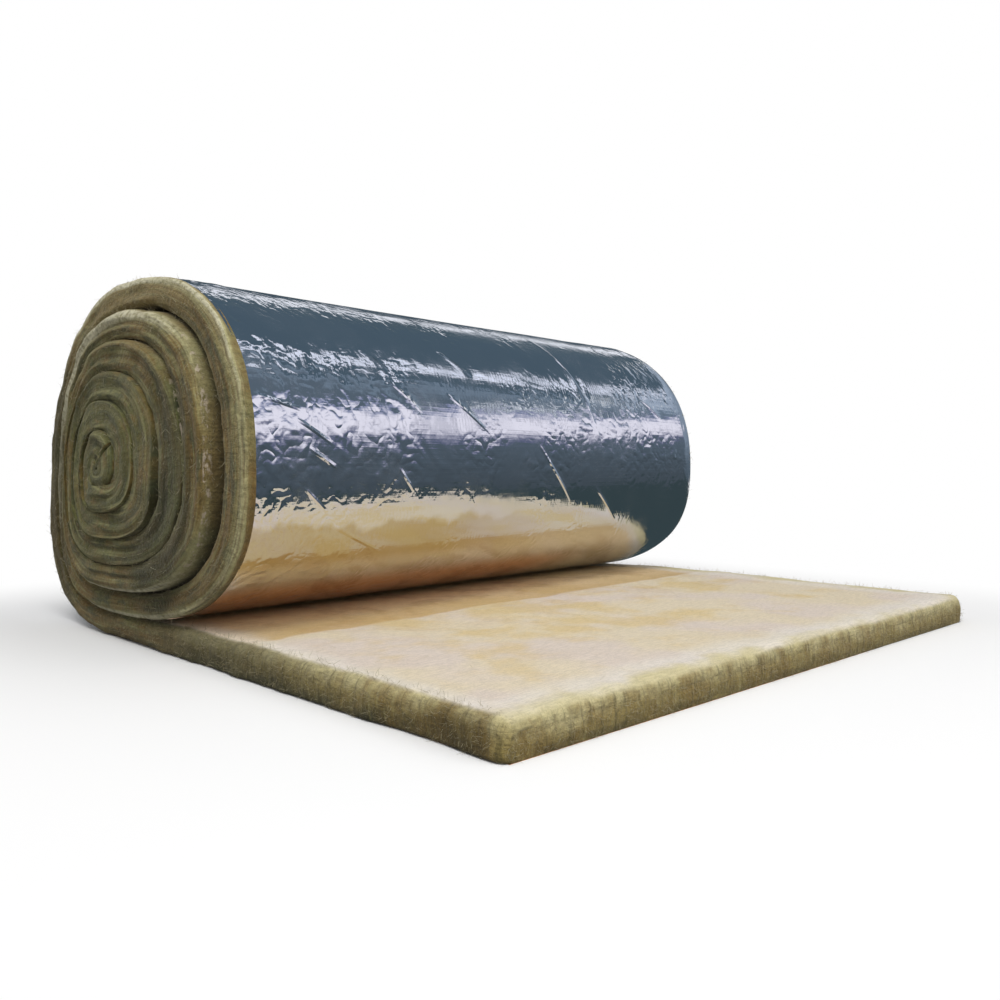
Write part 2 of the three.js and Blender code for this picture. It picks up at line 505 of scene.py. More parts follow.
def linear(hex_colour: str) -> tuple[float, float, float, float]:
    """An sRGB hex colour as linear light.

    Args:
        hex_colour: the colour, with its leading #.

    Returns:
        Red, green, blue and full alpha.
    """
    parts = [int(hex_colour[i:i + 2], 16) / 255.0 for i in (1, 3, 5)]
    flat = [p / 12.92 if p <= 0.04045 else ((p + 0.055) / 1.055) ** 2.4 for p in parts]
    return flat[0], flat[1], flat[2], 1.0


def add(tree: Tree, kind: str, settings: dict | None = None, inputs: dict | None = None) -> Wire:
    """Adds a node with its settings and links.

    Args:
        tree: the material's or world's nodes.
        kind: the node's type, without the leading ShaderNode.
        settings: properties of the node.
        inputs: by socket name or number, a value, a hex colour, or a wire to link from.

    Returns:
        The first output that the node has in use.
    """
    made = tree.nodes.new("ShaderNode" + kind)
    for name, value in (settings or {}).items():
        setattr(made, name, value)
    for key, value in (inputs or {}).items():
        if isinstance(value, Wire):
            tree.links.new(value.socket, made.inputs[key])
        else:
            made.inputs[key].default_value = linear(value) if isinstance(value, str) else value
    return Wire(next((socket for socket in made.outputs if socket.enabled), None))


def distance(x: Wire, y: Wire) -> Wire:
    """Length of the vector with these two sides."""
    both = add(x.tree, "CombineXYZ", {}, {0: x, 1: y})
    return add(x.tree, "VectorMath", {"operation": "LENGTH"}, {0: both})["Value"]


def fade(*factors: Wire | float | tuple) -> Wire:
    """Product of factors, most of them smooth ramps.

    Args:
        factors: each a value, or a ramp: the wire that it reads, where it starts, where it ends
            and, unless they are 0 and 1, what it gives there.

    Returns:
        The product.
    """
    smooth = {"interpolation_type": "SMOOTHSTEP"}
    return reduce(mul, [add(factor[0].tree, "MapRange", smooth, dict(enumerate(factor)))
                        if isinstance(factor, tuple) else factor for factor in factors])


def layered(tree: Tree, base: Tone, *tints: tuple, how: str = "MIX") -> Wire:
    """Lays tints over a base colour, one after the other.

    Args:
        tree: the material's nodes.
        base: the colour beneath.
        tints: for each, its colour and then the factors of its share, as fade takes them.
        how: MIX covers what lies beneath, and MULTIPLY darkens it.

    Returns:
        The colour on top.
    """
    for colour, *factors in tints:
        base = add(tree, "Mix", {"data_type": "RGBA", "blend_type": how},
                   {0: fade(*factors), 6: base, 7: colour})
    return base


@dataclass(frozen=True)
class Grain:
    """Noise from 0 to 1, drawn out by its own amount along each axis of a place.

    Size is how far apart features lie, in metres, on all axes or on each. Detail is octaves of
    finer noise, and roughness is their strength. Shift moves it, so that two of them differ.
    """

    size: float | Point
    detail: float = 2.0
    roughness: float = 0.5
    shift: float = 0.0

    def on(self, place: Wire) -> Wire:
        """The noise's value on a place given in metres."""
        at = add(place.tree, "Mapping", {}, {
            "Vector": place, "Scale": tuple(1.0 / np.broadcast_to(self.size, 3)),
            "Location": (self.shift, self.shift * 0.7, self.shift * 1.3)})
        return add(place.tree, "TexNoise", {}, {
            "Vector": at, "Scale": 1.0, "Detail": self.detail, "Roughness": self.roughness})


def new_tree(owner: bpy.types.Material | bpy.types.World) -> Tree:
    """Gives a material or world its nodes.

    Args:
        owner: the material or world.

    Returns:
        Its nodes, none so far.
    """
    owner.use_nodes = True
    owner.node_tree.nodes.clear()
    return owner.node_tree


@dataclass(frozen=True)
class Finish:
    """A finish, whose surface method lays out the nodes and gives the shader."""

    name: str

    def surface(self, tree: Tree) -> Wire:
        """The shader; every finish has its own."""
        raise NotImplementedError

    def material(self) -> bpy.types.Material:
        """Makes the node material.

        Returns:
            The material.
        """
        material = bpy.data.materials.new(self.name)
        tree = new_tree(material)
        add(tree, "OutputMaterial", {}, {"Surface": self.surface(tree)})
        return material


@dataclass(frozen=True)
class SpunGlassWool(Finish):
    """Resin-bonded glass wool, spun and laid in thin layers.

    The faces are a matt felt of pale cream fibre with ochre clouds where the resin is thicker.
    Cut across, it shows its layers as streaks: duller, olive and brown, with pale fibre ends.
    Painted shade and painted highlights on the cuts and the flap stand in for how light falls.
    """

    name: str = "glass_wool_spun_resin_bonded"
    cream: str = "#DFD1B7"
    pinkish: str = "#DCCEC2"
    ochre: str = "#D8BE82"
    # painted shadow: the darker tan of the flap's band in the roll's shadow
    pressed: str = "#C6A468"
    # painted light: a paler colour that lifts the wool deepest in the roll's shade
    in_roll_shade: str = "#F6D8A2"
    stain: str = "#BA9152"
    # paler towards the flap's edges
    near_edge_pale: str = "#E7E2DA"
    # the cuts' olive and browns are darker than the faces: partly cut fibre's colour, partly painted
    # shade
    cut_olive: str = "#56572C"
    cut_brown: str = "#725B2F"
    cut_green: str = "#3E4630"
    # painted light on the upper part of the wound ends
    cut_top_painted_light: str = "#A29163"
    cut_pale: str = "#929263"
    cut_dark: str = "#3F3E20"
    # painted shade for the outer turn's left side
    cut_painted_shade: str = "#29270F"
    # pale rims: the paler fibre ends and painted highlight
    rim_pale_and_highlight: str = "#ACA675"
    rim_bare_and_highlight: str = "#D2CDB2"
    # painted light: the upright cuts' paler tops
    side_painted_light: str = "#CBC091"
    # the middle of the upright cuts' painted gradient
    side_middle: str = "#94834E"
    # painted shade at the upright cuts' bottoms, also their dark streaks
    side_shade_and_streaks: str = "#333319"
    side_streak: str = "#7F6632"
    side_pale: str = "#B9B07A"
    side_brown: str = "#57461F"
    shred: str = "#C8B8A6"
    # painted shade in crevices
    crevice_painted_shade: str = "#33301F"
    # painted shade, multiplied into a crescent beside the core
    core_painted_shade: str = "#98A592"
    sheen: str = "#F2E8CF"
    clouds: Grain = Grain(120 * MM, 3.0, 0.55)
    blush: Grain = Grain(120 / 0.7 * MM, 2.0, 0.5, 7.3)
    stains: Grain = Grain(85 * MM, 4.0, 0.62, 12.0)
    blotches: Grain = Grain(75 * MM, 4.0, 0.6, 1.7)
    tufts: Grain = Grain(9 * MM, 4.0, 0.65, 5.5)
    shreds: Grain = Grain((10 * MM, 10 * MM, 22 * MM), 4.0, 0.7, 9.4)
    fibre: Grain = Grain(2.2 * MM, 3.0, 0.7, 2.1)  # real ones are far finer; coarse to show
    strands: Grain = Grain((2.2 / 0.15 * MM, 2.2 / 0.8 * MM, 1.0), 3.0, 0.65, 4.4)
    layers: Grain = Grain((120 * MM, 4.5 * MM, 1.0), 5.0, 0.62)
    rings: Grain = Grain((250 * MM, 13.5 * MM, 1.0), 2.0, 0.5, 3.0)
    mottle: Grain = Grain((55 * MM, 15 * MM, 1.0), 4.0, 0.65, 6.6)
    streaks: Grain = Grain((5 * MM, 50 * MM, 1.0), 4.0, 0.6, 5.0)
    patchy: Grain = Grain((45 * MM, 70 * MM, 1.0), 3.0, 0.6, 8.0)
    side_height: float = 46 * MM
    # where the painted roll shadow's crisp edge lies, in metres of skewed x
    roll_shadow_edge: Pair = (0.098, 0.086)
    core: Pair = (-0.298, 0.29)
    # middle and reach of the painted-shade crescent beside the core
    core_shade_middle: Pair = (-0.24, 0.29)
    core_shade_reach: Pair = (0.225, 0.23)
    flap_edge_reach: Pair = (0.62, 0.60)

    def face(self, place: Wire) -> Wire:
        """Colour of the sheet's faces: clouded felt, ochre and stained, more so towards the roll.

        A band by the roll is darkened as painted shadow, with painted light deeper under it. Towards
        the edges it is paler, and at the edge it takes the colour of the cut.

        Args:
            place: Object coordinates.

        Returns:
            The colour.
        """
        tree = place.tree
        x, y, _ = add(tree, "SeparateXYZ", {}, {0: place})
        clouds, blush, stains = (grain.on(place) for grain in (self.clouds, self.blush, self.stains))
        # how far a place lies in the roll's shadow, skewed along the axis
        in_roll_shade = x + y * 0.045 + (clouds - 0.5) * 0.05
        # painted shadow in the roll's shade, turning to painted light deeper under the roll
        under = layered(tree, self.pressed, (self.in_roll_shade, (in_roll_shade, 0.09, -0.06)),
                        (self.stain, (stains, 0.46, 0.64, 0.0, 0.55)))
        out = (abs(y) - self.flap_edge_reach[1]).larger(x - self.flap_edge_reach[0]) + (clouds - 0.5) * 0.12
        return layered(
            tree, self.cream, (self.pinkish, (blush, 0.42, 0.62)),
            (self.ochre, (clouds, 0.47, 0.66, 0.0, 0.7)),
            (self.stain, (stains, 0.50, 0.66, 0.0, 0.50),
             (x + (blush - 0.5) * 0.14, 0.34, 0.05, 0.12, 0.50)),
            # the roll's shadow, painted in with a crisp edge
            (under, (in_roll_shade, *self.roll_shadow_edge, 0.0, 0.82)),
            # paler towards the flap's edges
            (self.near_edge_pale, (out, -0.085, -0.035, 0.0, 0.6)),
            # at the very edge, the upright cuts' painted-light colour
            (self.side_painted_light, (out, -0.034, 0.006, 0.0, 0.85)))

    def wound(self, place: Wire, sheet: Wire, rim: Wire, layers: Wire, tufts: Wire) -> Wire:
        """Colour of the wound ends: layered browns, with pale rims that are partly painted highlight.

        Painted shade darkens a crescent beside the core and the outer turn's left side, and painted
        light brightens their upper part.

        Args:
            place: Object coordinates.
            sheet: the place in the sheet.
            rim: the trait of that name.
            layers: the streaks of the layers.
            tufts: the tufted fibre ends.

        Returns:
            The colour.
        """
        tree = place.tree
        x, _, z = add(tree, "SeparateXYZ", {}, {0: place})
        blotches, rings, mottle = self.blotches.on(place), self.rings.on(sheet), self.mottle.on(sheet)
        earthy = distance(x - self.core[0], z - self.core[1]) * 1.3 + blotches
        ring = distance(*((side - middle) * (1.0 / size) for side, middle, size in
                          zip((x, z), self.core_shade_middle, self.core_shade_reach)))
        ring = ring + (blotches - 0.5) * 0.25
        # ring and inside place the painted-shade crescent beside the core
        inside = ring + fade((z, 0.34, 0.20, 0.0, 0.20))
        wound = layered(
            tree, self.cut_olive, (self.cut_brown, (earthy, 0.60, 0.92)),
            (self.cut_pale, (layers, 0.50, 0.70, 0.0, 0.75)),
            (self.cut_dark, (layers, 0.46, 0.30, 0.0, 0.75)),
            (self.cut_dark, (rings, 0.48, 0.34, 0.0, 0.6)),
            (self.cut_pale, (rings, 0.52, 0.66, 0.0, 0.5)),
            (self.cut_brown, (mottle, 0.52, 0.64, 0.0, 0.60)),
            (self.cut_green, (mottle, 0.48, 0.36, 0.0, 0.70)),
            # painted light on the upper part
            (self.cut_top_painted_light, (z, 0.49, 0.57, 0.0, 0.5)))
        # painted shade: darkens a crescent beside the core
        wound = layered(tree, wound, (self.core_painted_shade, (inside, 0.72, 0.90), (ring, 1.24, 1.08),
                                      (z, 0.47, 0.38), (x, -0.25, -0.13)), how="MULTIPLY")
        # rim highlight share: partly paler bare fibre, partly painted highlight, stronger on the left
        rim_highlight_share = fade((rim, 0.42, 1.15), (x, 0.0, -0.22, 0.12, 1.0))
        rim_highlight_share = rim_highlight_share.larger(fade((rim, 1.20, 1.60, 0.0, 0.85)))
        # pale rims: paler fibre ends and painted highlight
        return layered(tree, wound, (self.rim_pale_and_highlight, rim, (layers, 0.34, 0.62, 0.10, 0.85)),
                       (self.rim_bare_and_highlight, rim_highlight_share, (tufts, 0.34, 0.54, 0.3, 0.95)),
                       # painted shade on the outer turn's left side
                       (self.cut_painted_shade, (x, -0.47, -0.55, 0.0, 0.65)))

    def upright(self, place: Wire, sheet: Wire, streaks: Wire) -> Wire:
        """Colour of the flap's upright cuts: painted light above and painted shade below.

        The painted shade sits lower at the free end and grows towards the roll.

        Args:
            place: Object coordinates.
            sheet: the place in the sheet.
            streaks: the upright streaks.

        Returns:
            The colour.
        """
        tree = place.tree
        x, _, z = add(tree, "SeparateXYZ", {}, {0: place})
        uneven = z + (self.blotches.on(place) - 0.5) * (55 * MM)
        patchy, at_free_end, high = self.patchy.on(sheet), fade((x, 0.585, 0.612)), self.side_height
        # painted shade on the upright cuts towards the roll
        shaded = fade((x, 0.50, 0.10), (uneven, 34 * MM, 4 * MM, 0.0, 0.75))
        return layered(
            tree, self.side_shade_and_streaks,
            # graded by height: painted shade below, painted light above, set lower at the free end
            (self.side_middle, (uneven + at_free_end * (17 * MM), -2 * MM, 0.62 * high + 4 * MM)),
            (self.side_painted_light, (uneven + at_free_end * (6 * MM), 0.5 * high, 1.15 * high)),
            (self.side_streak, (patchy, 0.44, 0.66, 0.0, 0.6)),
            (self.side_shade_and_streaks, (streaks, 0.50, 0.68, 0.0, 0.45)),
            (self.side_pale, (streaks, 0.46, 0.30, 0.0, 0.35)),
            (self.side_brown, (x, 0.45, 0.55, 0.0, 0.6), (at_free_end, 1.0, 0.0),
             (uneven, 50 * MM, 24 * MM, 0.35, 1.0)),
            # cut_dark here is painted shade towards the roll
            (self.cut_dark, shaded.larger(fade((x, 0.42, 0.04, 0.0, 0.72)))))

    def surface(self, tree: Tree) -> Wire:
        """The shader, which reads Object coordinates, the sheet's UV map and the traits.

        Args:
            tree: the material's nodes.

        Returns:
            The shader.
        """
        place, sheet = add(tree, "TexCoord")["Object"], add(tree, "UVMap", SHEET_MAP)
        x, _, _ = add(tree, "SeparateXYZ", {}, {0: place})
        cut, pit, torn, rim = (add(tree, "Attribute", {"attribute_name": name})["Fac"]
                               for name in TRAITS)
        blotches, tufts, fibre = (grain.on(place) for grain in (self.blotches, self.tufts, self.fibre))
        strands, layers, streaks = (grain.on(sheet) for grain in
                                    (self.strands, self.layers, self.streaks))
        fine, rough = fibre + strands, (tufts - 0.5) * cut
        ends = layered(tree, self.wound(place, sheet, rim, layers, tufts),
                       (self.upright(place, sheet, streaks), torn))
        colour = layered(tree, self.face(place), (ends, (cut + (blotches - 0.5) * 0.8, 0.15, 0.85)))
        grain = fade((fine, 0.75, 1.25, 0.86, 1.10)) + rough * 1.1
        grey = add(tree, "CombineColor", {}, {0: grain, 1: grain, 2: grain})
        colour = layered(tree, colour, (grey, 1.0), how="MULTIPLY")
        colour = layered(
            # painted shade in the crevices, by the pit trait
            tree, colour, (self.crevice_painted_shade, (pit, 0.0, 1.0, 0.0, 0.85)),
            (self.shred, (self.shreds.on(place), 0.52, 0.60), (pit, 0.01, 0.06),
             (pit, 0.34, 0.16), (x, -0.12, 0.02, 0.0, 0.7), (torn, 0.1, 0.0)))
        height = (layers + streaks) * cut * 1.8 + fine + rough * 5.0
        bump = add(tree, "Bump", {}, {"Strength": 1.0, "Distance": 0.8 * MM, "Height": height})
        return add(tree, "BsdfPrincipled", {}, {
            "Base Color": colour, "Normal": bump, "Roughness": 0.95, "Specular IOR Level": 0.15,
            "Sheen Weight": 0.25, "Sheen Roughness": 0.6, "Sheen Tint": self.sheen})


@dataclass(frozen=True)
class DrawnGlassFibre(Finish):
    """Single drawn glass fibres: pale, a little glossy, each with its own tint of the resin."""

    name: str = "glass_fibre_drawn_loose"
    bare: str = "#E4DAC0"
    resined: str = "#857848"

    def surface(self, tree: Tree) -> Wire:
        """The shader, which reads each fibre's own number from the UV map.

        Args:
            tree: the material's nodes.

        Returns:
            The shader.
        """
        number, _, _ = add(tree, "SeparateXYZ", {}, {0: add(tree, "UVMap", SHEET_MAP)})
        colour = layered(tree, self.resined, (self.bare, number))
        return add(tree, "BsdfPrincipled", {}, {"Base Color": colour, "Roughness": 0.5,
                                                "Specular IOR Level": 0.3})


@dataclass(frozen=True)
class Crease:
    """A straight fold in the foil: its middle, its heading from the sheet's length, and its size.

    Along is metres from the lift-off line, up the back and over the top, and y is the row's.
    """

    along: float
    y: float
    heading: float
    length: float
    height: float = 1.3 * MM
    half_width: float = 6 * MM


HANDLING_CREASES = tuple(Crease(*place) for place in (
    (1.284, 0.205, 14.0, 0.26), (1.500, 0.098, 43.0, 0.15), (1.397, -0.135, 56.0, 0.12),
    (1.314, -0.323, 55.0, 0.06), (1.376, -0.278, 50.0, 0.08), (1.532, -0.467, 50.0, 0.06),
    (1.597, -0.377, 65.0, 0.14), (1.473, -0.454, 63.0, 0.06), (1.565, 0.274, 52.0, 0.12),
    (1.298, -0.133, 50.0, 0.09), (1.400, -0.526, 77.0, 0.08), (1.438, -0.467, 62.0, 0.07),
    (1.505, -0.290, 40.0, 0.05), (1.354, 0.462, 53.0, 0.08), (0.620, 0.150, 35.0, 0.20),
    (0.350, -0.220, -50.0, 0.16), (0.900, -0.300, 60.0, 0.12), (0.820, 0.380, -40.0, 0.15)))


@dataclass(frozen=True)
class ScrimmedFoil(Finish):
    """Bright rolled aluminium foil, laminated over a scrim of glass yarn on kraft paper.

    It mirrors its surroundings, broken by the grid of yarn that presses through from behind and
    by fine crinkles. Low in front, where it rolls over the wool, a warm, darker tint is painted
    in: painted shade in what it mirrors there.
    """

    name: str = "aluminium_foil_scrim_laminate"
    aluminium: str = "#E4E6EA"
    # painted shade: a warm, darker tint of the mirror low in front
    painted_reflection_shade: str = "#CCC2A6"
    # painted shade: a warmer tint lowest in front
    resined: str = "#E2B895"
    yarn_pitch: float = 7.5 * MM
    yarn_height: float = 0.075 * MM
    yarn_share: tuple[Pair, ...] = ((0.15, 0.60), (0.20, 0.85))
    fold_height: float = 1.1 * MM
    crumpled: Pair = (-0.20, -0.58)
    crinkle_height: float = 0.15 * MM
    line_height: float = 0.07 * MM
    drift: Grain = Grain((50 * MM, 50 * MM, 1.0), 2.0, 0.5, 9.0)
    pressed: tuple[Grain, Grain] = (Grain((70 * MM, 70 * MM, 1.0), 2.0, 0.6, 11.0),
                                    Grain((70 * MM, 70 * MM, 1.0), 2.0, 0.6, 12.0))
    crinkle: Grain = Grain((8 * MM, 8 / 0.7 * MM, 1.0), 3.0, 0.55)
    folds: Grain = Grain((26 * MM, 26 * MM, 1.0), 1.5, 0.5, 6.0)
    handled: Grain = Grain((130 * MM, 130 * MM, 1.0), 2.0, 0.5, 2.5)
    lines: Grain = Grain((4 * MM, 160 * MM, 1.0), 2.0, 0.6, 3.3)
    dull: Grain = Grain((90 * MM, 90 * MM, 1.0), 3.0, 0.6, 1.0)
    clouds: Grain = Grain(90 * MM, 3.0, 0.6, 4.0)

    def fine_relief(self, sheet: Wire) -> Wire:
        """Height of the foil's fine relief: yarn, crinkles, folds, rolling lines and creases.

        Args:
            sheet: the place in the sheet.

        Returns:
            The height in metres.
        """
        tree = sheet.tree
        along, across, _ = add(tree, "SeparateXYZ", {}, {0: sheet})
        wander = self.drift.on(sheet) * (0.25 * self.yarn_pitch)
        yarns = []
        for course, grain, shares in zip((along, across), self.pressed, self.yarn_share):
            phase = (course + wander) * (math.pi / self.yarn_pitch)
            wave = abs(phase.reckon(Sum.SINE)).reckon(Sum.POWER, 8.0)
            yarns.append(fade(wave, (grain.on(sheet), 0.38, 0.62, *shares)))
        handled = fade((self.handled.on(sheet), 0.42, 0.64, 0.12, 0.8))
        handled = handled.larger(fade((across, *self.crumpled)))
        stirred = add(tree, "TexNoise", {}, {"Vector": sheet, "Scale": 22.0})["Color"]
        bent = add(tree, "Mix", {"data_type": "VECTOR"}, {0: 0.02, 4: sheet, 5: stirred})
        sharp = abs(self.folds.on(bent) - 0.5) * 4.0 * handled
        creased = reduce(Wire.larger, (self.ridge(sheet, crease) for crease in HANDLING_CREASES))
        return (yarns[0].larger(yarns[1]) * self.yarn_height
                + self.crinkle.on(sheet) * (handled + 0.25) * self.crinkle_height
                + sharp * self.fold_height + self.lines.on(sheet) * self.line_height + creased)

    def ridge(self, sheet: Wire, crease: Crease) -> Wire:
        """Height of one crease, in metres: a sharp ridge that tapers at its two ends.

        Args:
            sheet: the place in the sheet.
            crease: the crease.

        Returns:
            The height, 0 away from the crease.
        """
        tree, clamped = sheet.tree, {"use_clamp": True}
        beside = add(tree, "Mapping", {"vector_type": "TEXTURE"}, {
            "Vector": sheet, "Location": (crease.along, crease.y, 0.0),
            "Rotation": (0.0, 0.0, math.radians(crease.heading)),
            "Scale": (crease.length / 2.0, crease.half_width * 0.6, 1.0)})
        long, wide, _ = add(tree, "SeparateXYZ", {}, {0: beside})
        taper = add(tree, "Math", {"operation": "MULTIPLY_ADD"} | clamped,
                    {0: long, 1: long * -1.0, 2: 1.0})
        side = add(tree, "Math", {"operation": "SUBTRACT"} | clamped, {0: 1.0, 1: abs(wide)})
        return taper * side * (crease.height * 0.9)

    def surface(self, tree: Tree) -> Wire:
        """The shader, which reads the sheet's UV map and Object coordinates.

        Args:
            tree: the material's nodes.

        Returns:
            The shader.
        """
        place, sheet = add(tree, "TexCoord")["Object"], add(tree, "UVMap", SHEET_MAP)
        x, y, z = add(tree, "SeparateXYZ", {}, {0: place})
        in_front = fade((x, -0.20, -0.10))
        # painted shade in the mirror low in front, towards the near end
        bright = layered(
            tree, self.aluminium,
            (self.painted_reflection_shade, (z + (self.clouds.on(place) - 0.5) * 0.06, 0.214, 0.200),
             (z, 0.135, 0.158), in_front, (y, 0.12, -0.20, 0.0, 0.9)),
            (self.resined, (z, 0.126, 0.096), in_front, (y, 0.34, 0.10)))
        height = self.fine_relief(sheet)
        bump = add(tree, "Bump", {}, {"Strength": 1.0, "Distance": 1.0, "Height": height})
        return add(tree, "BsdfPrincipled", {}, {
            "Base Color": bright, "Metallic": 1.0, "Normal": bump,
            "Roughness": fade((self.dull.on(sheet), 0.38, 0.66, 0.06, 0.17))})


# ---------------------------------------------------------------------------------------------
# Sub-assemblies


@dataclass(frozen=True)
class SheetEnd:
    """One end of the blanket, near or far, as the strip that its cut makes along the sheet.

    Inward is 1 or -1, the way along Y in which the sheet lies. The arrays have a row for each
    station along the sheet and a column for each across the cut.
    """

    inward: int
    points: Array
    sheet: Array
    traits: Array


@dataclass
class GlassWoolBlanket:
    """The wool: one soft sheet, cut square at its ends and wound up on itself."""

    winding: Winding
    flap_pitch: float = 7 * MM
    free_end_radius: float = 17 * MM
    corner_radius: float = 12 * MM
    top_radius: float = 17 * MM
    foot_radius: float = 5 * MM
    turn_radius: float = 11 * MM
    outer_radius: float = 7 * MM
    core_turn_radius: float = 2.6 * MM
    edge_depth: float = 19 * MM
    top_edge_depth: float = 29 * MM
    core_edge_depth: float = 2.5 * MM
    seam_depth: float = 21 * MM
    core_seam_depth: float = 1.9 * MM
    loose_depth: float = 75 * MM
    tight_gap: float = 1.6 * MM
    loose_gap: float = 21 * MM
    gapes: tuple[tuple[float, float, float], ...] = (  # place and width in turns, and share
        (1.17, 0.06, 0.8), (1.75, 0.105, 1.0), (1.54, 0.012, 0.5), (1.30, 0.09, 0.25))
    # turns over which the sheet leaves the floor, the next turn covers it, and the core tightens
    lift_span: Pair = (0.02, 0.14)
    cover_span: Pair = (0.92, 1.12)
    tight_span: Pair = (2.05, 3.0)
    # turns over which the loose gap, the proud turns and the pale rims, partly painted highlight, begin
    # and end
    loose_spans: tuple[Pair, Pair] = ((1.02, 1.15), (1.88, 1.99))
    proud_spans: tuple[Pair, Pair] = ((0.92, 1.2), (1.9, 2.7))
    rim_highlight_spans: tuple[Pair, Pair] = ((0.95, 1.2), (1.9, 2.5))
    outer_rim_spans: tuple[Pair, Pair] = ((0.30, 0.45), (0.80, 0.97))
    outer_rim_fall: Pair = (0.60, 0.76)
    # metres in front of the eye over which the roll's weight, the upright cut and cushions begin
    weight_span: Pair = (-0.02, 0.30)
    upright_span: Pair = (0.02, 0.30)
    cushion_span: Pair = (0.16, 0.42)
    unrest_waves: Pair = (9.0, 26.0)  # to a turn, and the next
    wobble_waves: float = 7.0
    wobble: float = 2.4 * MM
    puff: float = 2.2 * MM
    crown: float = 3 * MM
    proud_turn: float = 6 * MM
    pit_depth: float = 26 * MM
    rim_draw: float = 10 * MM
    rim_width: float = 60 * MM
    corner_spread: float = 40 * MM
    eye_opening: float = 0.6 * MM
    eye_depth: float = 1.0 * MM
    eye_swell: float = 5.0 * MM
    eye_rings: int = 8
    side_shift: float = 3.0  # moves the free end's place in the sheet, so that its pattern differs
    far_shift: float = 5.0
    free_end_columns: int = 6
    wall_stations: int = 3
    shoulder_stations: int = 4
    crown_stations: int = 10
    rows: int = 130
    coarse_rows: tuple[int, ...] = (0, 1, 2, 4, 10, 45, 88, 118, 121, 123, 125, 126, 127, 128,
                                    129, 130)

    def __post_init__(self) -> None:
        """Lays out the stations along the flap, from its free end to the lift-off line."""
        w, radius = self.winding, self.free_end_radius
        angle = np.linspace(math.pi / 2, 0.0, self.free_end_columns)
        straight = w.flap_reach - radius
        count = round((straight + w.lift_off) / self.flap_pitch)
        even = np.linspace(straight, -w.lift_off, count + 1)[1:-1]
        self.flap_x = w.eye_x + np.concatenate([straight + radius * np.sin(angle), even])
        self.flap_bend = np.concatenate([1.0 - np.cos(angle), np.zeros(len(even))])
        self.flap_height = w.loft(self.flap_x) - radius * self.flap_bend
        self.flap_count = len(self.flap_x)
        self.across_count = 2 * (self.wall_stations + self.shoulder_stations) + self.crown_stations + 1
        self.shares = np.linspace(0.0, 1.0, self.rows + 1)

    def groove_share(self, turns: Array) -> Array:
        """0 where a seam is an open edge of the sheet and 1 where it lies between two turns."""
        ends = self.winding.turns - 1.0
        return window(turns, self.cover_span, (ends - 0.1, ends + 0.1))

    def tightness(self, turns: Array) -> Array:
        """How tightly a seam is wound: 0 on the outer turns and 1 in the core."""
        return smoothstep(turns, *self.tight_span)

    def looseness(self, turns: Array) -> Array:
        """How far a seam gapes beside the outer turn: in front, low at the back, near the top."""
        gape = sum(share * bell(turns, place, width) for place, width, share in self.gapes)
        return window(turns, *self.loose_spans) * np.clip(gape, 0.0, 1.0)

    def rim_pull(self, y: Array, turns: Array) -> Array:
        """How far the outer turn is drawn in near the far end: a parabola over the rim's width."""
        left = np.clip(1.0 - (self.winding.far_y - y) / self.rim_width, 0.0, 1.0)
        return self.rim_draw * left * left * smoothstep(turns, *self.lift_span) * (turns < 1.0)

    def seam_line(self, rim: float, inward: int) -> Array:
        """The bottoms of the crevices at one end, one row for each step of the winding.

        Args:
            rim: the end's y.
            inward: the way in which the sheet lies from it, 1 or -1.

        Returns:
            Steps x 7: the point, half gap, depth, sideways wobble and slide.
        """
        w = self.winding
        turns = np.arange(w.last_step + 1) / w.steps_per_turn
        groove, loose, tight = (share(turns) for share in
                                (self.groove_share, self.looseness, self.tightness))
        seed = 11 if inward > 0 else 12
        slow, quick = self.unrest_waves
        unrest = noise(turns * slow, seed=seed) * 0.5 + noise(turns * quick, seed=seed + 20) * 0.5
        seam = blend(self.seam_depth, self.core_seam_depth, tight)
        seam = seam * (1.0 + blend(0.25, 0.9, tight) * unrest)
        edge = blend(self.edge_depth, self.core_edge_depth, tight)
        depth = blend(edge, blend(seam, self.loose_depth, loose), groove)
        slack = blend(self.tight_gap * (1.4 + unrest), self.loose_gap, loose)
        half_gap = groove * 0.5 * slack * (1.0 - 0.6 * tight)
        inside = window(turns, (1.05, 1.3), (w.turns - 1.0, w.turns))
        wobble = inside * self.wobble * noise(turns * self.wobble_waves, seed=seed + 40)
        slide = w.slide(turns - groove / 2.0)
        y = rim + inward * depth - slide
        x, z = w.seam(turns, y).T
        return np.stack([x, y, z, half_gap, depth, wobble, slide], axis=-1)

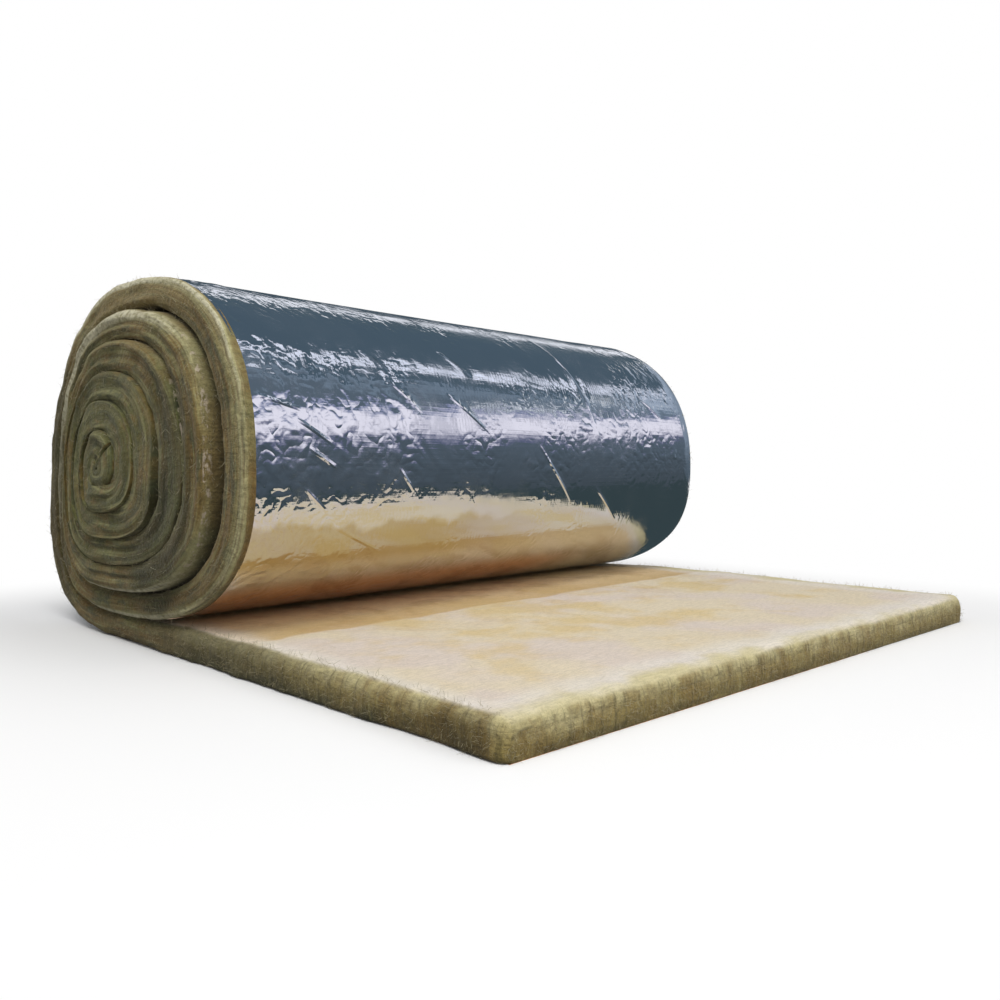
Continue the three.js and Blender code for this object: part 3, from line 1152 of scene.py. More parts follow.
    def cut_profile(self, width: Array, gaps: Array, depths: Array,
                    radii: Array) -> tuple[Array, Array]:
        """The cut across the sheet: a soft pillow between two crevices.

        From each side it climbs the crevice's wall, rounds the shoulder on a quarter circle and
        goes over a slightly domed crown.

        Args:
            width: columns x 1, thickness of the sheet.
            gaps: columns x 2, half gaps at the outer and inner side.
            depths: columns x 2, depths of the two crevices.
            radii: columns x 2, radii of the two shoulders.

        Returns:
            Columns x stations: distance across from the outer side, and depth.
        """
        radii = np.minimum(radii, (width / 2.0 - gaps) * 0.92)
        climb = np.linspace(0.0, 1.0, self.wall_stations + 1)
        turn = np.linspace(0.0, math.pi / 2, self.shoulder_stations + 1)[1:]
        sides = [(np.concatenate([gap * np.sqrt(climb), gap + radius * (1.0 - np.cos(turn))], 1),
                  np.concatenate([blend(depth, radius, climb), radius * (1.0 - np.sin(turn))], 1))
                 for gap, depth, radius in zip(*(pair.T[..., None] for pair in (gaps, depths, radii)))]
        (low, low_depth), (high, high_depth) = sides
        crest = np.linspace(0.0, 1.0, self.crown_stations + 1)[1:-1]
        middle = blend(low[:, -1:], width - high[:, -1:], crest)
        across = np.concatenate([low, middle, width - high[:, ::-1]], axis=1)
        depth = np.concatenate([low_depth, np.zeros_like(middle), high_depth[:, ::-1]], axis=1)
        dome = 1.0 - np.clip(np.abs(across / width * 2.0 - 1.0), 0.0, 1.0) ** 2
        crown = self.crown * np.clip(radii.min(axis=1) / self.turn_radius, 0.0, 1.0)
        return across, depth - crown[:, None] * dome

    def top_bumps(self, x: Array, y: Array) -> Array:
        """Soft cushions on the flap's top, above its plain loft, that die out under the roll."""
        bumps = relief(x, y, (0.17, 0.15, 2.2 * MM, 3), (0.055, 0.05, 0.9 * MM, 4)) - 1.2 * MM
        return bumps * smoothstep(x - self.winding.eye_x, *self.cushion_span)

    def cut_relief(self, turns: Array, along: Array, across: Array, width: Array, torn: Array,
                   seed: int) -> Array:
        """How far noise pushes the cut out: lumps, with pleats on the flap and layers on the turns.

        Args:
            turns: columns x 1, turns from the lift-off line.
            along: columns x 1, distance along the sheet.
            across: columns x stations, distance across from the outer side.
            width: columns x 1, thickness of the sheet.
            torn: columns x 1, how far the cut runs upright.
            seed: the first of the noises'.

        Returns:
            Columns x stations, in metres.
        """
        proud = noise(turns * 5.0, seed=seed) * 2.0 * MM + noise(turns * 13.0, seed=seed + 1) * 1.4 * MM
        proud = proud * (smoothstep(turns, 0.0, 1.2) * 0.65 + 0.35)
        foremost = window(turns, *self.proud_spans)
        proud = proud + self.proud_turn * foremost * (1.0 - passing(turns, 0.25))
        core = self.tightness(turns + 0.5)
        lumps = relief(along, across, (0.045, 0.03, 1.8 * MM, seed + 2),
                       (0.018, 0.012, 0.9 * MM, seed + 8))
        layers = relief(along, across, (0.12, 0.009, (1.3 + 0.9 * core) * MM, seed + 3),
                        (0.07, 0.0055, (1.0 + 0.6 * core) * MM, seed + 4))
        layers += self.split_rim(turns, across / width, seed + 7)
        pleats = relief(along, across, (0.021, 0.05, 0.6 * MM, seed + 5),
                        (0.06, 0.035, 2.0 * MM, seed + 6))
        return lumps + layers * (1.0 - torn) + pleats * torn + proud

    def split_rim(self, turns: Array, share: Array, seed: int) -> Array:
        """Relief of a cut that has parted along its middle into two soft rims.

        Each rim is a bell curve across the sheet, and noise along the sheet moves the two about
        and lets them swell and die away.

        Args:
            turns: columns x 1, turns from the lift-off line.
            share: columns x stations, the share across from the outer side.
            seed: which noise.

        Returns:
            Columns x stations, the height in metres.
        """
        swell = (2.6 + 1.6 * noise(turns * 4.0, seed=seed)) * MM
        first = 0.27 + 0.07 * noise(turns * 5.0, seed=seed + 1)
        second = 0.70 + 0.08 * noise(turns * 6.0, seed=seed + 2)
        return (swell * blend(0.35, 1.0, smoothstep(turns, 0.8, 1.2))
                * (bell(share, first, 0.13) + bell(share, second, 0.12)))

    def cut_traits(self, turns: Array, share: Array, depth: Array, torn: Array, bend: Array,
                   widest: Array) -> Array:
        """The traits of the cut: where it is cut, in a crevice, upright, and on a pale rim.

        The finish paints shade into the crevices, and onto the rims paler fibre and painted highlight.

        Args:
            turns: columns x 1, turns from the lift-off line, and 0 on the flap.
            share: columns x stations, the share across from the outer side.
            depth: columns x stations, depth below the plain cut.
            torn: columns x 1, how far the cut runs upright.
            bend: columns x 1, how far the free end's rounding has turned.
            widest: columns x 1, the larger radius of the two shoulders.

        Returns:
            Columns x stations x 4.
        """
        flap = (np.arange(len(turns)) < self.flap_count)[:, None]
        station, half = np.arange(self.across_count), self.across_count // 2
        shoulder = smoothstep(depth, 0.9 * widest, 0.0)
        rim = np.maximum(shoulder * (1.0 - smoothstep(share, 0.10, 0.34)),
                         0.5 * shoulder * smoothstep(share, 0.72, 0.92))
        rim = rim * smoothstep(turns, 0.05, 0.2) * (1.0 - 0.8 * self.tightness(turns + 0.2))
        # the proud turn's pale rim, partly painted highlight; at the back and top it moves onto the
        # crown
        foremost = window(turns, *self.rim_highlight_spans)
        high_back = passing(turns, 0.385)
        bare = bell(share, 0.06 + 0.34 * high_back, 0.10 + 0.20 * high_back)
        rim = rim * (1.0 - 0.6 * foremost * (1.0 - high_back))
        rim = rim + foremost * bare * smoothstep(depth, 16 * MM, 8 * MM)
        # the outer turn's pale rim, partly painted highlight
        outermost = window(turns, *self.outer_rim_spans)
        outermost = outermost * blend(1.0, 0.35, smoothstep(turns, *self.outer_rim_fall))
        rim = rim + 0.75 * outermost * shoulder * bell(share, 0.0, 0.12)
        # pit: depth in a crevice, which the finish darkens as painted shade
        pit = np.clip((depth - self.core_turn_radius) / self.pit_depth, 0.0, 1.0)
        pit = pit * ~flap * ((station >= half) | (turns >= 1.0))
        on_top = 1.0 - smoothstep(depth, self.top_radius * 0.15, self.top_radius * 1.1)
        on_top = np.maximum(on_top, smoothstep(bend, 0.0, 0.8))
        cut = np.where(flap & (station > half), on_top, 1.0)
        return np.stack(np.broadcast_arrays(cut, pit, torn, rim), axis=-1)

    def build_end(self, rim: float, inward: int) -> SheetEnd:
        """Works out the strip that the cut makes along the whole sheet at one end.

        Every column is the cut's profile at one station of the sheet, pushed out by its relief.

        Args:
            rim: the end's y.
            inward: the way in which the sheet lies from it, 1 or -1.

        Returns:
            The end.
        """
        w, flap, x = self.winding, self.flap_count, self.flap_x
        near = inward > 0
        line = self.seam_line(rim, inward)
        wound = np.arange(w.last_step - w.steps_per_turn + 1)
        later = wound + w.steps_per_turn
        on_turns = wound / w.steps_per_turn
        turns = np.concatenate([np.zeros(flap), on_turns])[:, None]
        rim_y = rim - w.slide(on_turns)
        floor = np.full(flap, w.floor_z)
        outer = np.concatenate([np.stack([x, floor], axis=-1), w.seam(on_turns, rim_y)])
        inner = np.concatenate([np.stack([x, floor + self.flap_height], axis=-1),
                                w.seam(on_turns + 1.0, rim_y)])
        pairs = np.zeros((len(turns), 2, line.shape[1]))
        pairs[flap:, 0], pairs[flap:, 1] = line[wound], line[later]
        gaps, depths, wobble, seam_slid = np.moveaxis(pairs[..., 3:], -1, 0)
        near_roll = 1.0 - smoothstep(x - w.eye_x, *self.weight_span)
        depths[:flap, 0] = self.edge_depth
        depths[:flap, 1] = blend(self.top_edge_depth, depths[flap, 1], near_roll)
        radii = np.zeros((len(turns), 2))
        radii[:flap, 0] = blend(self.foot_radius, self.turn_radius, near_roll)
        radii[:flap, 1] = blend(self.top_radius, self.turn_radius, near_roll)
        covered = smoothstep(on_turns, 0.9, 1.1) + 1.0 - smoothstep(on_turns, 0.0, 0.12)
        radii[flap:, 0] = blend(blend(self.outer_radius, self.turn_radius, covered),
                                self.core_turn_radius, self.tightness(on_turns))
        radii[flap:, 1] = blend(self.turn_radius, self.core_turn_radius,
                                self.tightness(on_turns + 1.0))
        towards = (inner - outer) / np.linalg.norm(inner - outer, axis=1)[:, None]
        outer, inner = outer + towards * wobble[:, :1], inner + towards * wobble[:, 1:]
        width = np.linalg.norm(inner - outer, axis=1)[:, None]
        across, depth = self.cut_profile(width, gaps, depths, radii)
        across = across + self.rim_pull(rim + inward * depth, turns) * (1.0 - across / width)
        swollen = self.puff * (1.0 + 0.8 * noise(turns * 30.0, seed=17 if near else 18))
        swollen = swollen * smoothstep(turns, 0.08, 0.2) * (turns < 0.96)
        bulge = smoothstep(depth, self.outer_radius * 1.15, self.outer_radius * 0.5)
        across = across - swollen * bulge * (across < width / 3.0)
        flat = outer[:, None, :] + towards[:, None, :] * across[..., None]
        slid = w.slide(turns)
        on_wall = np.clip(1.0 - np.arange(self.across_count) / self.wall_stations, 0.0, 1.0)
        slid = (slid + (seam_slid[:, :1] - slid) * on_wall
                + (seam_slid[:, 1:] - slid) * on_wall[::-1])
        along = path_length((outer + inner) / 2.0)[:, None]
        torn = smoothstep(x - w.eye_x, *self.upright_span)
        torn = np.append(torn, np.zeros(len(wound)))[:, None]
        bend = np.append(self.flap_bend, np.zeros(len(wound)))[:, None]
        out = self.cut_relief(turns, along, across, width, torn, 100 if near else 200)
        out = out * smoothstep(depth, self.turn_radius * 1.2, self.turn_radius * 0.48)
        y = rim + inward * (depth - out + self.corner_radius * bend) - slid
        share = across / width
        flat[:flap, :, 1] += self.top_bumps(flat[:flap, :, 0], y[:flap]) * share[:flap] ** 2
        points = np.stack([flat[..., 0], y, flat[..., 1]], axis=-1)
        points[flap:, 0], points[flap:, -1] = line[wound, :3], line[later, :3]
        pulled = self.rim_pull(points[flap:, 0, 1], on_turns)
        points[flap:, 0, ::2] += towards[flap:] * pulled[:, None]
        sheet = np.stack(np.broadcast_arrays(along, across), axis=-1)
        widest = radii.max(axis=1)[:, None]
        return SheetEnd(inward, points, sheet,
                        self.cut_traits(turns, share, depth, torn, bend, widest))

    def core_fill(self, end: SheetEnd, first_eye: int) -> tuple[Patch, Array]:
        """Wool that swells into the eye at one end and leaves a small dimple.

        Rings run from the edge of the eye, round its wall and along the sheet's inner end, to a
        small circle about its middle. They rise to a level crown, with low waves that turn with
        the winding, and only the last of them sinks.

        Args:
            end: the end, whose strip is worked out.
            first_eye: the column at which the wall of the eye begins.

        Returns:
            The wool's patch, and the small circle's points.
        """
        edge = np.concatenate([end.points[first_eye:, -1], end.points[-1, -2::-1]])
        middle = edge[:-1].mean(axis=0)
        arm = edge[:, [0, 2]] - middle[[0, 2]]
        angle = np.unwrap(np.arctan2(arm[:, 1], arm[:, 0]))
        run = np.linspace(angle[0], angle[0] + math.copysign(FULL_TURN, angle[-1] - angle[0]),
                          len(edge))
        circle = np.stack([middle[0] + self.eye_opening * np.cos(run),
                           np.full(len(run), middle[1] + end.inward * self.eye_depth),
                           middle[2] + self.eye_opening * np.sin(run)], axis=-1)
        circle[-1] = circle[0]
        way = 1.0 - (1.0 - np.linspace(0.0, 1.0, self.eye_rings + 1)[:, None]) ** 1.6
        rings = blend(edge[None], circle[None], way[..., None])
        rings[..., 1] = blend(edge[None, :, 1], middle[1], smoothstep(way, 0.0, 0.5))
        rings[-1, :, 1] = circle[:, 1]
        swirl = (np.sin(way * 9.0 + run) * 0.5 * MM
                 + relief(rings[..., 0], rings[..., 2], (0.02, 0.03, 1.2 * MM, 71)))
        swell = self.eye_swell * window(way, (0.0, 0.30), (0.95, 1.0))
        rings[..., 1] -= end.inward * (swirl * np.sin(way * math.pi) + swell)
        rings[:, -1] = rings[:, 0]
        sheet = np.stack(np.broadcast_arrays(run * 0.03, way * 0.04), axis=-1)
        traits = np.zeros(rings.shape[:2] + (4,))
        # the pit on the fill paints a little shade where it sinks into the dimple
        traits[..., 0], traits[..., 1] = 1.0, 0.1 * way ** 6
        return grid_patch(rings, sheet, traits, flipped=end.inward > 0), rings[-1]

    def flap_top(self) -> tuple[Array, Patch]:
        """The flap's top, from the free end to the line where the roll rests on it.

        Returns:
            Its grid of points, and the patch.
        """
        (near, far), flap = self.ends, self.flap_count
        grid = blend(near.points[:flap + 1, -1, None], far.points[:flap + 1, -1, None],
                     self.shares[:, None])
        height = self.winding.floor_z + self.flap_height
        bumps = self.top_bumps(grid[:flap, :, 0], grid[:flap, :, 1])
        grid[:flap, 1:-1, 2] = (height[:, None] + bumps)[:, 1:-1]
        traits = np.zeros(grid.shape[:2] + (4,))
        traits[:flap, :, 0] = smoothstep(self.flap_bend, 0.0, 0.8)[:, None]
        traits[..., 2] = 1.0
        back = (height[0] + path_length(grid[:, self.rows // 2]))[:, None]
        sheet = np.stack(np.broadcast_arrays(grid[..., 1] + self.side_shift, back), axis=-1)
        return grid, grid_patch(grid, sheet, traits)

    def free_end(self, crest: Array) -> tuple[Array, Patch]:
        """The free end: rows of the cut that spread out from its corners, pleated and bellied.

        Args:
            crest: the row of the flap's top that it ends on.

        Returns:
            Its grid of points, and the patch.
        """
        floor_z = self.winding.floor_z
        corner_a, corner_b = (end.points[0, :, None] for end in self.ends)
        cut = blend(corner_a, corner_b, self.shares[:, None])
        level = np.linspace(0.0, 1.0, len(cut))[:, None]
        away = np.minimum(cut[..., 1] - corner_a[..., 1], corner_b[..., 1] - cut[..., 1])
        spread = smoothstep(away, 0.0, self.corner_spread)
        cut[..., 2] = blend(cut[..., 2], blend(floor_z, crest[:, 2], level), spread)
        cut[0, :, 2] = floor_z
        cut[-1] = crest
        upright = np.clip((cut[..., 2] - floor_z) / (crest[:, 2] - floor_z), 0.0, 1.0)
        out = relief(cut[..., 1], cut[..., 2], (0.012, 0.04, 0.6 * MM, 31), (0.05, 0.04, 1.6 * MM, 32))
        out = out + 2.0 * MM * np.sin(upright * math.pi)
        cut[..., 0] += out * spread * window(upright, (0.0, 0.3), (0.6, 1.0))
        sheet = np.stack([cut[..., 1] + self.side_shift, cut[..., 2]], axis=-1)
        return cut, grid_patch(cut, sheet, (1.0, 0.0, 1.0, 0.0))

    def outside(self) -> Array:
        """The flap's underside and the outer turn, straight along the axis.

        Returns:
            Its grid of points, on the coarse rows.
        """
        w, flap, turn = self.winding, self.flap_count, self.winding.steps_per_turn
        side_a, side_b = (end.points[:flap + turn + 1, 0] for end in self.ends)
        y = blend(side_a[:, None, 1], side_b[:, None, 1], self.shares[list(self.coarse_rows)])
        turns = np.concatenate([np.zeros(flap), np.arange(turn + 1) / turn])
        arm = w.seam(turns + 1.0, w.far_y) - w.seam(turns, w.far_y)
        towards = arm / np.linalg.norm(arm, axis=1)[:, None]
        pull = self.rim_pull(y, turns[:, None])
        flat = w.seam(turns[:, None], y) + towards[:, None, :] * pull[..., None]
        grid = np.stack([flat[..., 0], y, flat[..., 1]], axis=-1)
        grid[:flap, :, 0] = self.flap_x[:, None]
        grid[:flap, :, 2] = w.floor_z
        grid[:, 0], grid[:, -1] = side_a, side_b
        return grid

    def build(self, finish: bpy.types.Material) -> bpy.types.Object:
        """Builds the whole blanket as one closed mesh.

        The two strips of the cut ends are joined by the outside, the flap's top and the free
        end. Wool fills the eye at both, and the wall of a thin dimple runs through the core.

        Args:
            finish: the wool's material.

        Returns:
            The piece.
        """
        w, picks = self.winding, np.array(self.coarse_rows)
        near, far = self.ends = self.build_end(w.near_y, 1), self.build_end(w.far_y, -1)
        self.top_grid, top = self.flap_top()
        self.free_end_grid, free_end = self.free_end(self.top_grid[0])
        outside = self.outside()
        first_eye = len(near.points) - 1 - w.steps_per_turn
        (near_fill, near_circle), (far_fill, far_circle) = (self.core_fill(end, first_eye)
                                                            for end in self.ends)
        wall = np.stack([near_circle, far_circle], axis=1)
        patches = [
            grid_patch(near.points, near.sheet, near.traits),
            grid_patch(far.points, far.sheet + (self.far_shift, 0.0), far.traits, flipped=True),
            top, free_end,
            grid_patch(outside[1:-1], outside[1:-1, :, :2], PLAIN, flipped=True),
            fan_patch(outside[1], self.free_end_grid[0], picks),
            fan_patch(outside[-2], self.top_grid[-1], picks, flipped=True),
            # the dimple's wall carries full pit, which the finish paints as shade
            near_fill, far_fill, grid_patch(wall, wall[..., :2], (1.0, 1.0, 0.0, 0.0)),
        ]
        piece = mesh_object("glass_wool_blanket_soft", patches, finish)
        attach(piece, "root")
        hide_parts("glass_wool_blanket")
        return piece


@dataclass(frozen=True)
class Strew:
    """How fibres are strewn over one surface.

    Lift is the share of a fibre's course that stands straight out; the rest lies within the
    given angle of the surface's length. Bareness is 0 for fibres that the resin has stained.
    """

    count: int
    length: Pair
    lift: Pair
    fan: float
    bareness: Pair


@dataclass
class LooseFibres:
    """Loose fibres that stand out of the cut edges and lie on the flap's top.

    Each is a thin three-sided tube, pointed at both ends, whose middle line is the root, plus t
    times its length in one direction, plus t squared times its bend in another.
    """

    blanket: GlassWoolBlanket
    radius: float = 0.19 * MM  # the real fibres are far finer; drawn coarse to show
    bend: float = 0.45
    ends: Strew = Strew(2900, (5 * MM, 15 * MM), (0.1, 0.6), 0.6, (0.1, 0.65))
    near_side: Strew = Strew(1500, (4 * MM, 12 * MM), (0.3, 1.4), math.pi, (0.1, 0.55))
    free_end: Strew = Strew(1300, (4 * MM, 12 * MM), (0.3, 1.4), math.pi, (0.1, 0.6))
    top: Strew = Strew(300, (8 * MM, 22 * MM), (0.05, 0.3), math.pi, (0.9, 1.0))
    open_span: Pair = (0.42, 0.50)  # how far in front of the eye the flap's top begins to lie open
    sections: tuple[float, ...] = (0.0, 0.04, 0.45, 0.8, 1.0)
    girths: tuple[float, ...] = (0.0, 1.0, 1.0, 0.7, 0.0)
    seed: int = 8

    def strew(self, how: Strew, grid: Array, facing: Point, keep: Array,
              rng: np.random.Generator) -> Array:
        """Middle lines of fibres rooted at random places, even over a surface's area.

        Args:
            how: their number, lengths and directions.
            grid: the surface, rows x columns x 3, with the rows along its length.
            facing: a direction on the surface's outer side.
            keep: how readily fibres grow there, for each point or each column.
            rng: the source of chance.

        Returns:
            Fibres x (sections + 3) x 3: the middle line, then two directions across the fibre,
            then its bareness three times.
        """
        along, across = np.gradient(grid, axis=0), np.gradient(grid, axis=1)
        normal = np.cross(along, across)
        normal = normal * np.sign((normal * np.array(facing)).sum())
        area = np.linalg.norm(normal, axis=-1)
        weight = (area * keep).reshape(-1)
        picked = rng.choice(weight.size, how.count, p=weight / weight.sum())
        shift = rng.uniform(-0.5, 0.5, (2, how.count, 1))
        here = [part.reshape(-1, 3)[picked] for part in (grid, along, across, normal)]
        out = here[3] / area.reshape(-1)[picked][:, None]
        root = here[0] + shift[0] * here[1] + shift[1] * here[2] - out * MM
        level = here[1] / np.linalg.norm(here[1], axis=1)[:, None]
        turn = rng.uniform(-how.fan, how.fan, how.count) + math.pi * rng.integers(0, 2, how.count)
        course = (level * np.cos(turn)[:, None] + np.cross(out, level) * np.sin(turn)[:, None]
                  + out * rng.uniform(*how.lift, how.count)[:, None])
        course /= np.linalg.norm(course, axis=1)[:, None]
        length = rng.uniform(*how.length, (how.count, 1, 1))
        beside = np.cross(course, rng.normal(size=(how.count, 3)))
        beside /= np.linalg.norm(beside, axis=1)[:, None]
        t = np.array(self.sections)[None, :, None]
        line = root[:, None] + length * t * (course[:, None] + beside[:, None] * self.bend * t)
        bareness = np.repeat(rng.uniform(*how.bareness, (how.count, 1)), 3, axis=1)
        others = np.stack([beside, np.cross(course, beside), bareness], axis=1)
        clear = line[..., 2].min(axis=1) > 2.0 * self.radius
        return np.concatenate([line, others], axis=1)[clear]

    def build(self, finish: bpy.types.Material) -> bpy.types.Object:
        """Builds all fibres as one piece.

        Args:
            finish: the fibres' material.

        Returns:
            The piece.
        """
        rng = np.random.default_rng(self.seed)
        wool = self.blanket
        from_edge = np.minimum(np.arange(wool.across_count), np.arange(wool.across_count)[::-1])
        cut = np.where(from_edge < wool.wall_stations, 0.0, 1.0)
        shoulders = np.where(from_edge < wool.wall_stations + wool.shoulder_stations, cut, 0.35)
        surfaces = []
        for end in wool.ends:
            facing = (0.0, -end.inward, 0.0)
            surfaces += [(self.ends, end.points[wool.flap_count:], facing, shoulders),
                         (self.near_side, end.points[:wool.flap_count], facing, cut)]
        open_part = smoothstep(wool.top_grid[..., 0] - wool.winding.eye_x, *self.open_span)
        surfaces += [(self.free_end, wool.free_end_grid.transpose(1, 0, 2), (1.0, 0.0, 0.0), 1.0),
                     (self.top, wool.top_grid, (0.0, 0.0, 1.0), open_part)]
        both = np.concatenate([self.strew(*surface, rng) for surface in surfaces])
        line, sides, bareness = both[:, :-3], both[:, -3:-1], both[:, -1, 0]
        angle = (np.arange(3) * FULL_TURN / 3.0)[:, None]
        arms = (sides[:, None, None, 0] * np.cos(angle) + sides[:, None, None, 1] * np.sin(angle))
        points = line[:, :, None] + arms * self.radius * np.array(self.girths)[:, None, None]
        ids = np.arange(points[..., 0].size).reshape(points.shape[:3])
        beside = np.roll(ids, -1, axis=2)
        quads = np.stack([ids[:, :-1], beside[:, :-1], beside[:, 1:], ids[:, 1:]], axis=-1)
        shade = np.broadcast_to(bareness[:, None, None], points.shape[:3]).reshape(-1)
        patch = Patch(points.reshape(-1, 3), [quads.reshape(-1, 4)],
                      np.stack([shade, 0.0 * shade], axis=-1), np.zeros((len(shade), 4)))
        piece = mesh_object("loose_glass_fibres", [patch], finish)
        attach(piece, "root")
        return piece


@dataclass
class FoilFacing:
    """The foil on the underside of the flap and round the outside of the roll."""

    blanket: GlassWoolBlanket
    thickness: float = 0.5 * MM
    bond_gap: float = 0.3 * MM
    inset: float = 7 * MM
    ragged: float = 1.5 * MM
    tuck_room: float = 2 * MM
    slack: float = 0.5 * MM
    sharpness: float = 2.6
    # metres over which the wrinkles begin at the floor, the tuck and the rims, and calm in front
    lift_span: Pair = (0.02, 0.12)
    tuck_span: Pair = (0.01, 0.05)
    rim_span: Pair = (-1 * MM, 22 * MM)
    calm_span: Pair = (1.50, 1.60)
    pitch: float = 5.4 * MM
    tuck_samples: int = 400
    run_samples: int = 4000
    floor_columns: int = 10
    rows: int = 232
    coarse_rows: tuple[int, ...] = (0, 2, 6, 60, 170, 220, 223, 226, 228, 230, 231, 232)
    random_creases: int = 90
    crease_near_share: float = 0.6
    crease_near_reach: float = 0.30
    crease_along: Pair = (0.15, 1.60)
    crease_heading: Pair = (20.0, 75.0)  # degrees
    crease_height: Pair = (0.5, 1.3)  # millimetres, and the next
    crease_half_width: Pair = (4.5, 8.0)
    seed: int = 5

    def tuck_turn(self) -> float:
        """Finds where the foil ends, in the nip between roll and flap.

        Returns:
            The last place on the outer turn where the foil still has its room above the flap.
        """
        w = self.blanket.winding
        turns = np.linspace(0.5, 1.0, self.tuck_samples)
        room = np.ones(len(turns))
        for y in (w.near_y, w.far_y):
            x, z = w.seam(turns, y).T
            room = np.minimum(room, z - w.floor_z - w.loft(x))
        return turns[room >= self.thickness + 2 * self.bond_gap + self.tuck_room][-1]

    def even_turns(self) -> tuple[Array, Array]:
        """Places on the outer turn at an even pitch.

        Returns:
            The places in turns, and their distance along the sheet from the lift-off line.
        """
        w = self.blanket.winding
        fine = np.linspace(0.0, self.tuck_turn(), self.run_samples)
        run = path_length(w.seam(fine, (w.near_y + w.far_y) / 2.0))
        along = np.linspace(0.0, run[-1], round(run[-1] / self.pitch) + 1)
        return np.interp(along, run, fine), along

    def creases(self) -> list[Crease]:
        """The creases from handling and many random ones, most of them near the near end.

        Returns:
            The creases.
        """
        rng = np.random.default_rng(self.seed)
        found = list(HANDLING_CREASES)
        w = self.blanket.winding
        for _ in range(self.random_creases):
            near = rng.random() < self.crease_near_share
            reach = self.crease_near_reach if near else w.far_y - w.near_y - 0.1
            found.append(Crease(
                along=rng.uniform(*self.crease_along),
                y=w.near_y + 0.03 + reach * rng.random() ** 1.3,
                heading=rng.uniform(*self.crease_heading) * rng.choice([-1.0, 1.0], p=[0.3, 0.7]),
                length=rng.uniform(0.03, 0.11 if near else 0.16),
                height=rng.uniform(*self.crease_height) * MM * rng.choice([-1.0, 1.0]),
                half_width=rng.uniform(*self.crease_half_width) * MM))
        return found

    def wrinkles(self, along: Array, y: Array) -> Array:
        """Height of the foil above its smooth course, in metres and never below 0.

        Broad waves, ripples along the axis from winding, crumples that fade away from the near
        end, and creases, each a sharp ridge along a straight line that tapers at its two ends.
        Where they would dip into the wool, a soft floor at 0 holds them up.

        Args:
            along: distance along the sheet from the lift-off line.
            y: place along the axis.

        Returns:
            The heights, in the shape of both.
        """
        w = self.blanket.winding
        from_near = y - w.near_y
        front = 1.0 - 0.4 * smoothstep(along, *self.calm_span)
        height = relief(along, y, (0.15, 0.26, 1.2 * MM, 51), (0.06, 0.08, 0.40 * MM, 52),
                        (0.026, 0.16, 0.14 * MM * front, 53))
        patches = smoothstep(noise(along / 0.16, y / 0.20, seed=56), 0.05, 0.55)
        crumpled = np.maximum(np.exp(-from_near / 0.11), 0.10 + 0.35 * patches)
        bent_u, bent_v = (side + relief(along, y, (0.05, 0.05, 0.012, seed))
                          for side, seed in ((along, 57), (y, 58)))
        for long, wide, high, seed in ((0.050, 0.042, 1.4 * MM, 54), (0.026, 0.023, 0.7 * MM, 55)):
            crest = 1.0 - self.sharpness * np.abs(noise(bent_u / long, bent_v / wide, seed=seed))
            height += np.clip(crest, 0.0, 1.0) * high * crumpled * front
        for crease in self.creases():
            cos, sin = (wave(math.radians(crease.heading)) for wave in (math.cos, math.sin))
            du, dv = along - crease.along, y - crease.y
            taper = 1.0 - ((du * cos + dv * sin) / (crease.length / 2.0)) ** 2
            ridge = 1.0 - np.abs(dv * cos - du * sin) / crease.half_width
            height += (crease.height * np.sqrt(np.clip(taper, 0.0, 1.0))
                       * np.clip(ridge, 0.0, 1.0) ** 1.4)
        height = np.log1p(np.exp(np.clip(height / self.slack, -30.0, 30.0))) * self.slack
        edge = np.minimum(from_near, w.far_y - y) - self.inset
        height = height * smoothstep(edge, *self.rim_span) * smoothstep(along, *self.lift_span)
        return height * smoothstep(along.max() - along, *self.tuck_span)

    def build(self, finish: bpy.types.Material) -> bpy.types.Object:
        """Builds the facing as one thin closed skin.

        Its outer side is a fine grid with the wrinkles, and its inner side a coarse one that lies
        a bond gap outside the wool.

        Args:
            finish: the foil's material.

        Returns:
            The piece.
        """
        w, picks = self.blanket.winding, np.array(self.coarse_rows)
        turns, along = self.even_turns()
        floor_x = np.linspace(w.flap_reach, -w.lift_off, self.floor_columns + 1)[:-1]
        flat = len(floor_x)
        all_along = np.concatenate([-floor_x - w.lift_off, along])[:, None]
        low, high = (end + self.ragged * noise(all_along / 0.06, seed=seed) for end, seed in
                     ((w.near_y + self.inset, 61), (w.far_y - self.inset, 62)))
        y = blend(low, high, np.linspace(0.0, 1.0, self.rows + 1))
        course = w.seam(turns[:, None], y[flat:])
        step = np.gradient(course, axis=0)
        step /= np.linalg.norm(step, axis=-1, keepdims=True)
        outward = np.stack([-step[..., 1], step[..., 0]], axis=-1)
        outward[0] = (0.0, -1.0)
        course = course - outward * self.blanket.rim_pull(y[flat:], turns[:, None])[..., None]
        height = self.wrinkles(along[:, None], y[flat:])
        sides = []
        for skin, rise in ((self.bond_gap + self.thickness, height), (self.bond_gap, 0.0 * height)):
            laid = np.stack([floor_x + w.eye_x, np.full(flat, w.floor_z - skin)], axis=-1)
            both = np.concatenate([np.repeat(laid[:, None], self.rows + 1, axis=1),
                                   course + outward * (skin + rise)[..., None]])
            sides.append(np.stack([both[..., 0], y, both[..., 1]], axis=-1))
        outer, inner = sides[0], sides[1][:, picks]
        sheet = np.stack(np.broadcast_arrays(all_along, y), axis=-1)
        patches = [
            grid_patch(outer, sheet, PLAIN, flipped=True),
            grid_patch(inner, sheet[:, picks], PLAIN),
            fan_patch(inner[0], outer[0], picks, flipped=True),
            fan_patch(inner[-1], outer[-1], picks),
        ]
        for column in (0, -1):
            rim = np.stack([inner[:, column], outer[:, column]], axis=1)
            place = np.stack([sheet[:, column]] * 2, axis=1)
            patches.append(grid_patch(rim, place, PLAIN, flipped=column == 0))
